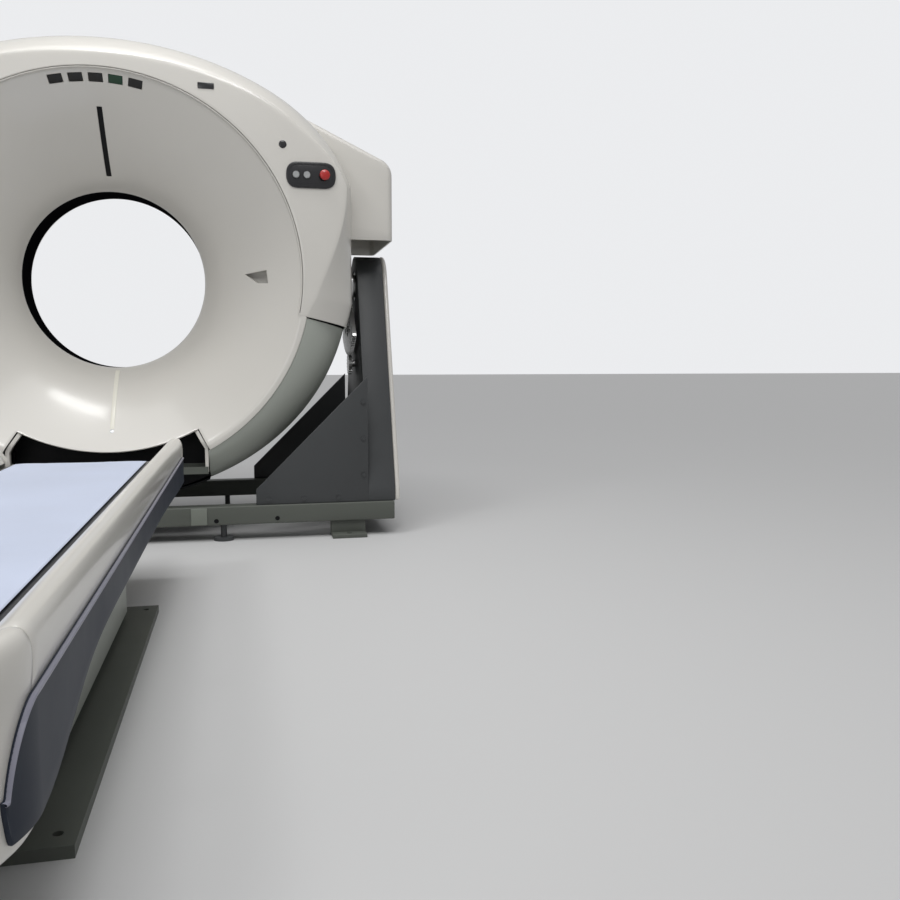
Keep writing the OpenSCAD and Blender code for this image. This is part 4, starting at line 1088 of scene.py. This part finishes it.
class ScanWindow(bpy.types.Operator):
    """Build the dark band round the middle of the bore"""

    bl_idname = "scanner.scan_window"
    bl_label = "Scan window"

    def execute(self, context):
        g = gantry()
        ys = [-g.throat + 0.0004, -g.throat + 0.0012] + spread(-g.throat + 0.006, g.throat - 0.006, 12)
        ys += [g.throat - 0.0012, g.throat - 0.0004]
        depth = [0.0008, 0.0002] + [0.0] * 12 + [0.0002, 0.0008]
        rows = [[polar(i, g.bore_radius + d, y) for y, d in zip(ys, depth)] for i in range(360)]
        band = lattice("scan_band", rows, round_rows=True)
        facing_out(band)
        band.data.flip_normals()
        walled(band, 0.005)
        finished(band, "tilting", "black_plastic", "scan_window", finish="scan_glass")
        return {"FINISHED"}


class BowlPieces(bpy.types.Operator):
    """Build the indicator windows, the laser slot, the trim strip and the finger recesses"""

    bl_idname = "scanner.bowl_pieces"
    bl_label = "Bowl pieces"

    def execute(self, context):
        self.windows()
        self.laser()
        self.trim()
        self.grips()
        return {"FINISHED"}

    def windows(self):
        w, h = WINDOW["half"]
        dark = []
        for i, place in enumerate(window_places()):
            tile = plate(f"window_{i}", place, box_path(w - 0.0006, h - 0.0006, 0.006), -0.0006, 0.008, 0.0007)
            if i == 3:
                finished(tile, "tilting", "black_plastic", "indicator_windows", finish="green_lens")
            else:
                dark.append(tile)
        rest = joined("window_tiles", dark, SOFT_EDGE)
        finished(rest, "tilting", "black_plastic", "indicator_windows", finish="window_glass")

    def laser(self):
        xs = spread(-LASER["half"] + 0.0003, LASER["half"] - 0.0003, 5)
        rows = [[(x, bowl_depth(r) + 0.0042, gantry().axis_height + r) for x in xs]
                for r in spread(LASER["start"] + 0.001, LASER["end"] - 0.001, 40)]
        strip = shell("laser_strip", rows, facing_front, 0.004, rim=0)
        finished(strip, "tilting", "black_plastic", "laser_window", finish="slot_glass")

    def trim(self):
        """A cream strip with round edges down the bowl, and the dull cap at its end."""
        section = [(-0.0082, -0.0002), (-0.0080, 0.0016), (-0.0068, 0.0025), (-0.003, 0.0029), (0.003, 0.0029),
                   (0.0068, 0.0025), (0.0080, 0.0016), (0.0082, -0.0002)]
        start, end = gantry().bore_radius + 0.012, 0.600
        rows = []
        for t in spread(0, 1, 60):
            r = mix(start, end, t)
            share = min(1.0, 0.25 + 22 * min(t, 1 - t))
            rows.append([(x, bowl_depth(r) - d * share, gantry().axis_height - r) for x, d in section])
        strip = shell("trim_strip", rows, facing_front, 0.0015, rim=0)
        finished(strip, "tilting", "ivory_cover", "bowl_trim", finish="trim")
        cap = turned("trim_cap", bowl_place(0, end + 0.009, math.pi), [
            (0.0, -0.0024), (0.006, -0.0023), (0.0078, -0.0015), (0.0082, 0.0003), (0.0, 0.0003)], 28)
        finished(cap, "tilting", "ivory_cover", finish="cast_aluminium")

    def grips(self):
        """Scooped pockets behind the openings in the bowl's flanks, in ivory darkened to paint the shade inside
        them.
        """
        outline = round_path(GRIP, 0.010, 7)
        cx, cz = (sum(p[i] for p in outline) / len(outline) for i in (0, 1))
        steps = [(1.05, 0.0045), (1.035, 0.0062), (1.02, 0.010), (0.98, 0.016), (0.86, 0.0215), (0.62, 0.0245),
                 (0.3, 0.0255), (0.02, 0.0257)]
        rows = [[(cx + (x - cx) * k, d, cz + (z - cz) * k) for x, z in outline] for k, d in steps]
        pocket = lattice("grip_right", rows, round_columns=True)
        pocket.data.transform(grip_place(1))
        facing_front(pocket)
        walled(pocket, 0.002, rim=0)
        both = both_sides("grip_pockets", pocket, None)
        finished(both, "tilting", "ivory_cover", "grip_recesses", finish="recess")


class FacePieces(bpy.types.Operator):
    """Build the caps and windows on the face, and the two control panels with keys and stops"""

    bl_idname = "scanner.face_pieces"
    bl_label = "Face pieces"

    def execute(self, context):
        pieces = []
        button = [(0.0, -0.0027), (0.009, -0.0026), (0.0128, -0.0022), (0.0145, -0.0012), (0.015, -0.0003),
                  (0.0, -0.0003)]
        for side in (1, -1):
            pieces.append(turned("cap", face_place(side * CAP[0], CAP[1]), button, 36))
            pieces.append(plate("window", face_place(side * FACE_WINDOW[0], FACE_WINDOW[1]),
                                box_path(0.030, 0.0115, 0.004), -0.002, -0.0003, 0.0009))
        caps = joined("face_caps", pieces, SOFT_EDGE)
        finished(caps, "tilting", "black_plastic", "screw_caps")
        for side, name in ((1, "right"), (-1, "left")):
            self.panel(side, name)
        return {"FINISHED"}

    def panel(self, side, name):
        w, h = PANEL["half"]
        place = panel_place(side)
        outline = box_path(w, h, h * 0.98, 16)
        base = plate("base", place, outline, -0.0062, 0.0, 0.0026)
        outer, inner = ([(x * (1 - d / w), z * (1 - d / h)) for x, z in outline] for d in (0.006, 0.0105))
        sheet = lattice("bezel", [[(x, y, z) for x, z in ring] for ring, y in
                                  ((outer, -0.0062), (outer, -0.0078), (inner, -0.0080), (inner, -0.0060))],
                        round_columns=True)
        sheet.data.transform(place)
        facing_front(sheet)
        shell = joined(f"panel_shell_{name}", [base, sheet], SOFT_EDGE)
        finished(shell, "tilting", "black_plastic", f"panel_{name}")
        self.wells(side, name)
        for i, x in enumerate(PANEL["keys"]):
            key = turned(f"key_cap_{name}_{i + 1}", panel_place(side, x), [
                (0.0, -0.0112), (0.006, -0.0114), (0.0105, -0.0119), (0.0122, -0.0116), (0.0129, -0.0106),
                (0.013, 0.002), (0.0, 0.002)], 36)
            finished(key, f"key_{name[0]}{i + 1}", "key_grey", f"key_{name}_{i + 1}")
        stop = turned(f"stop_cap_{name}", panel_place(side, PANEL["stop"]), [
            (0.0, -0.0300), (0.008, -0.0298), (0.0145, -0.0289), (0.0182, -0.0272), (0.0199, -0.0247),
            (0.0199, -0.0222), (0.0188, -0.0202), (0.0160, -0.0190), (0.0085, -0.0180), (0.0085, 0.006),
            (0.0, 0.006)], 44)
        finished(stop, f"stop_{name}", "stop_red", f"estop_{name}")

    def wells(self, side, name):
        """Collars round the keys and the stop."""
        rings = []
        for x, r in [(key, 0.0136) for key in PANEL["keys"]] + [(PANEL["stop"], 0.012)]:
            profile = [(r, -0.0058), (r, -0.0082), (r + 0.0008, -0.0088), (r + 0.0022, -0.0088),
                       (r + 0.003, -0.0080), (r + 0.0032, -0.0058)]
            ring = lattice("collar", circles(profile, 36), round_columns=True)
            ring.data.transform(panel_place(side, x))
            facing_front(ring)
            rings.append(ring)
        collars = joined(f"collars_{name}", rings, SOFT_EDGE)
        finished(collars, "tilting", "black_plastic", finish="rubber")


def stand_outline(low, high, inset=0.0):
    """A round head over a wide foot, in Y and Z, in a box between two corners and brought in by the inset."""
    centre = gantry().axis_height
    r, half, step = high.z - centre - inset, high.y - inset, low.z + 0.060
    reach = math.hypot(half, centre - step)
    start = math.acos(r / reach) - math.atan2(centre - step, half)
    arc = [(r * math.cos(a), centre + r * math.sin(a)) for a in spread(start, math.pi - start, 40)]
    foot = low.z + inset
    return [(-half, foot), (half, foot), (half, step)] + arc + [(-half, step)]


class StandCovers(bpy.types.Operator):
    """Build the rounded covers outside the side stands"""

    bl_idname = "scanner.stand_covers"
    bl_label = "Stand covers"

    def execute(self, context):
        low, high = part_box("stand_cover_right")
        right = prism("stand_cover_shell_right", stand_outline(low, high), 0.0002, high.x - low.x)
        right.data.transform(Matrix.Translation((low.x, 0, 0)) @ SWAP_X_Y)
        outward(right)
        rounded(right, 0.009, segments=4)
        finished_pair(right, "stand_cover_shell", "base", "ivory_cover", "stand_cover")
        return {"FINISHED"}


class Stands(bpy.types.Operator):
    """Build the dark side stands with their gusset plates"""

    bl_idname = "scanner.stands"
    bl_label = "Stands"

    sheet: metres("Sheet", "Thickness of the stands' plate", 0.008)
    foot: metres("Foot", "Height of the gussets' outer end", 0.062)
    reach: metres("Reach", "Where the gussets end across the housing", 0.550)

    def execute(self, context):
        low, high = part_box("stand_right")
        half, inner = high.y, gantry().side_half_width + STAND_GAP
        shell = sideways(prism("stand_shell", stand_outline(low, high), inner, high.x))
        hollow = prism("hollow", stand_outline(low, high, self.sheet), inner + self.sheet, high.x + 0.01)
        cut(shell, [sideways(hollow)])
        rounded(shell, 0.0022, 2)
        axle = Matrix.Translation((0, 0, gantry().axis_height)) @ ACROSS
        hub = rod("hub", axle, HUB["radius"], inner - 0.0005, inner + 0.060, 48)
        cut(hub, [rod("well", axle, HUB["bore"], inner - 0.01, inner + 0.07, 48)])
        cut(shell, [rod("mouth", axle, HUB["bore"], inner - 0.01, inner + 0.02, 48)])
        tall = self.foot + inner - self.reach
        outline = [(self.reach, low.z), (inner + 0.001, low.z), (inner + 0.001, low.z + tall),
                   (self.reach, low.z + self.foot)]
        plates = [rounded(prism("gusset", outline, y0, y0 + 0.012), 0.0025) for y0 in (-half, half - 0.012)]
        right = joined("stand_body_right", [shell, hub] + plates, SOFT_EDGE)
        finished_pair(right, "stand_body", "base", "dark_steel", "stand")
        return {"FINISHED"}


class FloorFrame(bpy.types.Operator):
    """Build the floor frame of box beams with its holes, splice plates and anchor pads"""

    bl_idname = "scanner.floor_frame"
    bl_label = "Floor frame"

    edge: metres("Edge", "Radius of the beams' corners", 0.005)
    out: metres("Out", "Distance from the scan plane to the beams' outer faces", 0.440)
    deep: metres("Deep", "Depth of the beams across the floor", 0.070)
    tall: metres("Tall", "Height of the beams' section", 0.075)

    def execute(self, context):
        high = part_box("base_frame")[1]
        half, wide, top, under = high.x, self.out, high.z, high.z - self.tall
        pieces = [block("beam", (-half, s * wide, under), (half, s * (wide - self.deep), top), self.edge)
                  for s in (-1, 1)]
        holes = [Matrix.Translation((s * x, -wide, z)) for s in (-1, 1)
                 for x, z in ((x, top - drop) for x, drop in BEAM_HOLES)]
        cut(pieces[0], [rod("hole", place, 0.0095, -0.01, 0.012) for place in holes])
        # near-black discs inside the holes paint the shade of the hollow beams behind them
        hole_shades = joined("beam_hole_shades", [rod("hole_shade", place, 0.0094, 0.004, 0.0115) for place in holes])
        finished(hole_shades, "base", "black_plastic", finish="liner")
        side_x = gantry().side_half_width - 0.014
        for s in (-1, 1):
            pieces.append(block("side_beam", (s * (half - 0.002), -wide + 0.04, under + 0.0005),
                                (s * side_x, wide - 0.04, top - 0.0005), self.edge))
            for way in (-1, 1):
                pieces += self.foot(s * ANCHOR["x"], way, under)
        near, far = SPLICE
        plates = [block("splice", (s * near, -wide - 0.005, under + 0.004),
                        (s * far, -wide + 0.001, top - 0.004), 0.0018) for s in (-1, 1)]
        frame_piece = joined("floor_frame", pieces, SOFT_EDGE)
        finished(frame_piece, "base", "frame_steel", "base_frame")
        splices = joined("splice_plates", plates, SOFT_EDGE)
        finished(splices, "base", "frame_steel", finish="splice_steel")
        return {"FINISHED"}

    def foot(self, x, way, under):
        """A pad with its anchor's hole, and the leg over it."""
        y, half = way * ANCHOR["y"], ANCHOR["half"]
        pad = block("pad", (x - half, y + way * 0.030, 0.0), (x + half, y - way * 0.080, 0.016), 0.002)
        upright = Matrix.Translation((x, y, 0.008)) @ Matrix.Rotation(math.pi / 2, 4, "X")
        cut(pad, [rod("bore", upright, 0.011, -0.02, 0.02)])
        leg = block("leg", (x - half, y - way * 0.030, 0.010),
                    (x + half, y - way * 0.080, under + 0.001), 0.002)
        return [pad, leg]


class Fasteners(bpy.types.Operator):
    """Build the screws and bolts that show"""

    bl_idname = "scanner.fasteners"
    bl_label = "Fasteners"

    def execute(self, context):
        g = gantry()
        rear = [(polar(a, outline_radius(a) - 0.150, g.face), (0, 1, 0))
                for a in [-90 + 360 / 28 + i * 360 / 14 for i in range(14)]]
        finished(studs("rear_screws", rear, 0.007, 0.003, "machined_steel"), "tilting", "machined_steel")
        spots = [(0.985, 0.25), (0.985, 0.40), (0.985, 0.55), (0.60, 0.160), (0.74, 0.160), (0.88, 0.160)]
        bolts = [((side * x, way * 0.430, z), (0, way, 0)) for side in (1, -1) for way in (-1, 1)
                 for x, z in spots]
        finished(studs("gusset_bolts", bolts, 0.010, 0.009, "dark_steel", 6), "base", "dark_steel")
        return {"FINISHED"}


# Couch

def low_edge(y):
    """Height of the couch body's lower edge, which dips under the tail."""
    c = couch()
    dip_y = -(c.end + c.length) + 0.16
    return (c.rail_height - 0.15 - 0.066 * math.exp(-((y - dip_y) / 0.23) ** 2)
            - 0.023 * ease(y, -2.0, -0.95))


def rail_line():
    """X of the rails' inner line, and Y where it begins to turn round the tail."""
    c = couch()
    rail_x = c.top_half_width + c.rail_gap
    return rail_x, -(c.end + c.length) + (c.half_width - rail_x) + c.corner_radius


def symmetric(half):
    return half + [(-x, z) for x, z in reversed(half)]


def rail_section(y):
    """Distance out from the rail's inner line and height, over the top and down to the lower lip."""
    c = couch()
    h, low = c.rail_height, low_edge(y)
    w = c.half_width - c.top_half_width - c.rail_gap - 0.006
    over = bezier([(0.0, h - 0.070), (0.008, h - 0.052), (0.032, h - 0.004), (0.062, h)], 16)
    down = bezier([(0.062, h), (w + 0.006, h), (w + 0.0035, h - 0.030), (w, h - 0.064)], 14)[1:]
    side = [(w, mix(h - 0.064, low + 0.028, t)) for t in spread(0.1, 1, 8)]
    lip = bezier([(w, low + 0.028), (w - 0.001, low + 0.010), (w - 0.012, low), (w - 0.030, low)], 8)[1:]
    return over + down + side + lip


def along_edge(place, turn, section):
    a = math.radians(turn)
    return [(place[0] + u * math.cos(a), place[1] + u * math.sin(a), z) for u, z in section]


class CouchEdge(bpy.types.Operator):
    """Build the ivory mouldings along the couch's sides and round its tail"""

    bl_idname = "scanner.couch_edge"
    bl_label = "Couch edge"

    def execute(self, context):
        c = couch()
        rail_x, turn_y = rail_line()
        ys = spread(turn_y + 0.0006, -c.end - 0.026, 90)
        rows = [along_edge((rail_x, y), 0, rail_section(y)) for y in ys]
        right = shell("rail_shell_right", rows, facing_up, 0.005)
        finished(both_sides("rail_shells", right), "couch", "ivory_cover", "rail_covers")
        rows = []
        for side in (1, -1):
            centre = (side * (rail_x - c.corner_radius), turn_y)
            for t in spread(0, 90, 28):
                turn = -t if side > 0 else -90 - t
                a = math.radians(turn)
                place = (centre[0] + c.corner_radius * math.cos(a), centre[1] + c.corner_radius * math.sin(a))
                rows.append(along_edge(place, turn, rail_section(turn_y)))
        tail = shell("tail_shell", rows, facing_up, 0.005)
        finished(tail, "couch", "ivory_cover", "couch_tail")
        return {"FINISHED"}


class SidePanels(bpy.types.Operator):
    """Build the slate panels on the couch's sides, round at the tail"""

    bl_idname = "scanner.side_panels"
    bl_label = "Side panels"

    turn: number("Turn", "How far round the corner they run, in degrees", 27.0)

    def execute(self, context):
        c = couch()
        rail_x, turn_y = rail_line()
        width = c.half_width - rail_x
        stations = []
        for t in [i / 60 for i in range(12)] + spread(0.2, 1, 24)[:-1]:
            turn = -self.turn * (1 - t)
            a = math.radians(turn)
            place = (rail_x - c.corner_radius * (1 - math.cos(a)), turn_y + c.corner_radius * math.sin(a))
            high = max(0.36, math.sqrt(max(0.0, 1 - (1 - min(1.0, t / 0.92)) ** 2)))
            stations.append((place, turn, turn_y, 0.32 * (1 - min(1.0, t / 0.13)) ** 2, high))
        stations += [((rail_x, y), 0, y, 0.0, 1.0) for y in spread(turn_y, -c.end - 0.027, 60)]
        right = lattice("side_panel_right",
                        [along_edge(place, turn, self.section(y, width, low, high))
                         for place, turn, y, low, high in stations], round_columns=True)
        # a thin strip along the panels' top edge, in a pale finish that paints the edge's highlight
        bead = lattice("panel_bead_right",
                       [along_edge(place, turn, self.bead(y, width, high))
                        for place, turn, y, _, high in stations],
                       round_columns=True)
        outward(bead)
        finished(both_sides("panel_beads", bead), "couch", "slate_panel", finish="edge_highlight")
        capped(right)
        finished(both_sides("side_panel_shells", right, 35), "couch", "slate_panel", "side_panels")
        return {"FINISHED"}

    def span(self, y):
        """The panel's lower and upper edge."""
        return low_edge(y) + 0.026, couch().rail_height - 0.064

    def bead(self, y, width, high):
        # The pale strip along the panel's top edge; its colour paints the highlight that edge catches.
        low, top = self.span(y)
        z = mix(low, top, high)
        return [(width - 0.0055, z - 0.0002), (width + 0.0012, z - 0.0002), (width + 0.0020, z - 0.0012),
                (width + 0.0020, z - 0.0026), (width + 0.0012, z - 0.0034), (width - 0.0055, z - 0.0034)]

    def section(self, y, width, share_low, share_high):
        low, top = self.span(y)
        low, top = mix(low, top, share_low), mix(low, top, share_high)
        middle, half = (low + top) / 2, (top - low) / 2
        inner, outer = width - 0.0057, width
        r = min(0.0035, half * 0.5)
        face = [(outer - 0.001, middle + half - 0.0004), (outer, middle + half - r * 0.6)]
        face += [(outer - 0.0008 * math.sin(math.pi * t), mix(middle + half - r, middle - half + r, t))
                 for t in spread(0, 1, 8)]
        face += [(outer - 0.0005, middle - half + r * 0.4), (outer - 0.0025, middle - half)]
        return [(inner, middle + half)] + face + [(inner, middle - half)]


class CouchNose(bpy.types.Operator):
    """Build the cover over the rails' ends beside the gantry"""

    bl_idname = "scanner.couch_nose"
    bl_label = "Couch nose"

    def execute(self, context):
        c = couch()
        low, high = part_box("couch_nose")
        w, rail_x, h = high.x, rail_line()[0], c.rail_height
        top = h - 0.116
        half = [(w - 0.030, low.z), (w - 0.012, low.z + 0.005), (w - 0.002, low.z + 0.020), (w, low.z + 0.040)]
        half += bezier([(w - 0.0004, h - 0.034), (w - 0.001, h - 0.010), (w - 0.010, h - 0.0012),
                        (w - 0.028, h - 0.0016)], 7)
        half += bezier([(w - 0.030, h - 0.002), (rail_x + 0.030, h - 0.014), (rail_x + 0.006, h - 0.048),
                        (rail_x, h - 0.066)], 8)
        half += [(rail_x, top + 0.006), (rail_x - 0.006, top - 0.010)]
        outline = symmetric(half)
        rows = []
        for y, shrink in ((low.y, 0.0), (high.y - 0.010, 0.0), (high.y - 0.006, 0.0008),
                          (high.y - 0.0025, 0.003), (high.y - 0.0006, 0.0062), (high.y, 0.0100)):
            rows.append([(x * (1 - shrink / w), y, z - shrink * (1 if z > top + 0.02 else -0.4))
                         for x, z in outline])
        nose = lattice("nose_shell", rows, round_columns=True)
        capped(nose)
        smooth(nose, SOFT_EDGE)
        finished(nose, "couch", "ivory_cover", "couch_nose")
        return {"FINISHED"}


class CouchTop(bpy.types.Operator):
    """Build the black sliding top with its upturned edges"""

    bl_idname = "scanner.couch_top"
    bl_label = "Sliding top"

    def execute(self, context):
        low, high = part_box("couch_top")
        w, rim = high.x, high.z
        seat, keel = rim - 0.016, rim - 0.040
        flat, under = w - 0.093, w - 0.073
        half = [(flat, seat)]
        half += [(mix(flat, w - 0.008, t), mix(seat, rim, ease(t, -0.35, 1.0))) for t in spread(0.15, 1, 7)]
        half += [(w - 0.004, rim - 0.0004), (w, rim - 0.003), (w, seat)]
        half += [(mix(w, under, t), mix(seat, keel, t ** 0.8)) for t in spread(0.12, 1, 8)]
        tray = rounded(prism("top_tray", symmetric(half), low.y, high.y), 0.0015, 2, 50)
        near, far = low.y + 0.010, low.y + 0.230
        carriage = block("carriage", (-0.170, near, low.z), (0.170, far, keel + 0.001), 0.002)
        wings = [block("wing", (s * 0.169, near, low.z), (s * 0.216, far, low.z + 0.0117), 0.0015)
                 for s in (-1, 1)]
        top = joined("sliding_top", [tray, carriage] + wings, SOFT_EDGE)
        finished(top, "cradle", "black_shell", "couch_top")
        return {"FINISHED"}


class Mat(bpy.types.Operator):
    """Build the padded mat on the sliding top"""

    bl_idname = "scanner.mat"
    bl_label = "Mat"

    pressure: number("Pressure", "Pressure inside the pad while it swells", 4.0)
    moments: bpy.props.IntProperty(name="Moments", description="Frames that the swelling takes", default=20)
    most: metres("Most swell", "How far a point of the pad may move", 0.004)

    def execute(self, context):
        c = couch()
        low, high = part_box("mat")
        seat, rise = 0.374, 0.016  # height of the sliding top's flat, and how far its edges turn up
        half = (high.x - low.x) / 2 - 0.004
        y0, y1 = low.y + 0.004, high.y - 0.004
        inset = 0.006
        top = high.z - 0.006
        columns = spread(-half + inset, half - inset, 30)
        rows = spread(y0 + inset, y1 - inset, 120)

        def bottom(x):
            return seat + 0.004 + rise * ease(abs(x), 0.120, c.top_half_width - 0.008)

        vertices, faces = [], []
        n, m = len(rows), len(columns)
        for height in (lambda x: top, bottom):
            vertices += [(x, y, height(x)) for y in rows for x in columns]
        for i in range(n - 1):
            for j in range(m - 1):
                a = i * m + j
                faces.append([a, a + 1, a + m + 1, a + m])
                b = n * m + a
                faces.append([b, b + m, b + m + 1, b + 1])
        rim = (list(range(m)) + [i * m + m - 1 for i in range(1, n)]
               + [(n - 1) * m + j for j in range(m - 2, -1, -1)] + [i * m for i in range(n - 2, 0, -1)])
        for k, a in enumerate(rim):
            b = rim[(k + 1) % len(rim)]
            faces.append([a, a + n * m, b + n * m, b])
        mat = new_object("mat_pad", vertices, faces)
        outward(mat)
        self.swell(mat)
        finished(mat, "cradle", "mat_vinyl", "mat")
        return {"FINISHED"}

    def swell(self, mat):
        """Pressure from inside rounds the pad's edges, as stuffing does."""
        modified(mat, "SUBSURF", subdivision_type="SIMPLE", levels=1, render_levels=1)
        rest = np.array([v.co for v in mat.data.vertices])
        pad = mat.modifiers.new("Cloth", "CLOTH")
        pad.settings.use_pressure = True
        pad.settings.uniform_pressure_force = self.pressure
        pad.settings.effector_weights.gravity = 0.0
        pad.settings.quality = 4
        scene = bpy.context.scene
        for moment in range(1, self.moments + 1):
            scene.frame_set(moment)
        baked(mat)
        scene.frame_set(1)
        now = np.array([v.co for v in mat.data.vertices])
        move = now - rest
        size = np.linalg.norm(move, axis=1, keepdims=True)
        move = move * np.minimum(1.0, self.most / np.maximum(size, 1e-9))
        mat.data.vertices.foreach_set("co", (rest + move).astype(np.float32).ravel())
        mat.data.update()
        smooth(mat)


# Stage

# Name, place, target, size and power
LAMPS = [("ceiling_strip", (0.18, -0.80, 3.2), (0.18, -0.79, 0.0), (0.9, 0.22), 9.0),
         ("ceiling_left", (-1.5, -2.4, 3.6), (0.0, -0.7, 0.7), (0.7, 0.7), 17.0),
         ("ceiling_right", (0.7, -3.0, 3.4), (0.2, -1.6, 0.5), (0.8, 0.8), 24.0),
         ("front", (-1.6, -5.2, 2.0), (0.1, -0.4, 0.9), (1.6, 1.6), 15.0)]
# Strength of the world as light, as the camera sees it, and what glossy surfaces see on top
WORLD = {"light": 0.19, "seen": 0.86, "gloss": 0.30}


class Stage(bpy.types.Operator):
    """Set the camera, the lamps, the world and the floor"""

    bl_idname = "scanner.stage"
    bl_label = "Stage"

    camera_place: bpy.props.FloatVectorProperty(
        name="Camera", description="Place of the camera", default=(0.516, -4.093, 0.721))
    yaw: number("Yaw", "Degrees to the right of +Y", 12.8)
    pitch: number("Pitch", "Degrees below the horizon", 5.71)

    def execute(self, context):
        scene = context.scene
        lens = bpy.data.cameras.new("camera")
        lens.lens, lens.sensor_width, lens.sensor_height, lens.sensor_fit = 36.0, 36.0, 36.0, "HORIZONTAL"
        lens.clip_end = 60.0
        camera = linked("camera", lens)
        camera.location = self.camera_place
        camera.rotation_euler = (math.radians(90 - self.pitch), 0, -math.radians(self.yaw))
        scene.camera = camera
        for lamp in LAMPS:
            self.lamp(*lamp)
        self.sky()
        floor = new_object("floor", [(x, y, 0) for x, y in corners(40, 40)], [[0, 1, 2, 3]])
        floor.data.materials.append(self.pale("pale floor", 0.60))
        self.world(scene)
        scene.view_settings.view_transform = "Standard"
        return {"FINISHED"}

    def lamp(self, name, place, target, size, power):
        light = bpy.data.lights.new(name, "AREA")
        light.shape, light.energy = "RECTANGLE", power
        light.size, light.size_y = size
        lamp = linked(name, light)
        lamp.location = place
        lamp.rotation_euler = (Vector(target) - Vector(place)).to_track_quat("-Z", "Y").to_euler()

    def sky(self):
        """Wide soft light from above, even over the whole floor."""
        light = bpy.data.lights.new("sky", "SUN")
        light.energy, light.angle = 1.46, math.radians(60)
        linked("sky", light).rotation_euler = (math.radians(17), 0, 0)

    def pale(self, name, level):
        material, _, shader = surface(name)
        shader.inputs["Base Color"].default_value = (level, level, level, 1)
        shader.inputs["Roughness"].default_value = 0.7
        return material

    def world(self, scene):
        world = bpy.data.worlds.new("studio")
        scene.world = world
        world.use_nodes = True
        tree = world.node_tree
        path = add_node(tree, "ShaderNodeLightPath").outputs
        seen = add_node(tree, "ShaderNodeMath", {"operation": "MAXIMUM"}, i0=path["Is Camera Ray"],
                        i1=path["Is Transmission Ray"])
        level = add_node(tree, "ShaderNodeMapRange", To_Min=WORLD["light"], To_Max=WORLD["seen"],
                         Value=seen.outputs[0])
        shine = add_node(tree, "ShaderNodeMath", {"operation": "MULTIPLY_ADD"}, i0=path["Is Glossy Ray"],
                         i1=WORLD["gloss"], i2=level.outputs["Result"])
        back = tree.nodes["Background"]
        back.inputs["Color"].default_value = (0.97, 0.98, 1.0, 1)
        tree.links.new(shine.outputs[0], back.inputs["Strength"])


class ScannerPanel(bpy.types.Panel):
    """Lists the steps that build the scanner"""

    bl_idname = "SCANNER_PT_steps"
    bl_label = "Scanner"
    bl_space_type = "VIEW_3D"
    bl_region_type = "UI"
    bl_category = "Scanner"

    def draw(self, context):
        for group in (gantry(), couch(), colours()):
            for name in group.__annotations__:
                self.layout.prop(group, name)
        for step in STEPS:
            self.layout.operator(step.bl_idname)


STEPS = [Stage, FinishNodes, FrontBowl, NotchEdge, FaceRing, TopCover, Shoulders, LowerCovers, RearCover,
         ScanWindow, BowlPieces, FacePieces, StandCovers, Stands, FloorFrame, Fasteners, CouchEdge, SidePanels,
         CouchNose, CouchTop, Mat]
CLASSES = [GantrySizes, CouchSizes, ScannerFinish, *STEPS, ScannerPanel]


def register():
    for kind in CLASSES:
        bpy.utils.register_class(kind)
    bpy.types.Scene.scanner_gantry = bpy.props.PointerProperty(type=GantrySizes)
    bpy.types.Scene.scanner_couch = bpy.props.PointerProperty(type=CouchSizes)
    bpy.types.Scene.scanner_finish = bpy.props.PointerProperty(type=ScannerFinish)


def unregister():
    del bpy.types.Scene.scanner_finish
    del bpy.types.Scene.scanner_couch
    del bpy.types.Scene.scanner_gantry
    for kind in reversed(CLASSES):
        bpy.utils.unregister_class(kind)


def main():
    register()
    for step in STEPS:
        group, name = step.bl_idname.split(".")
        getattr(getattr(bpy.ops, group), name)()


if __name__ == "__main__":
    main()
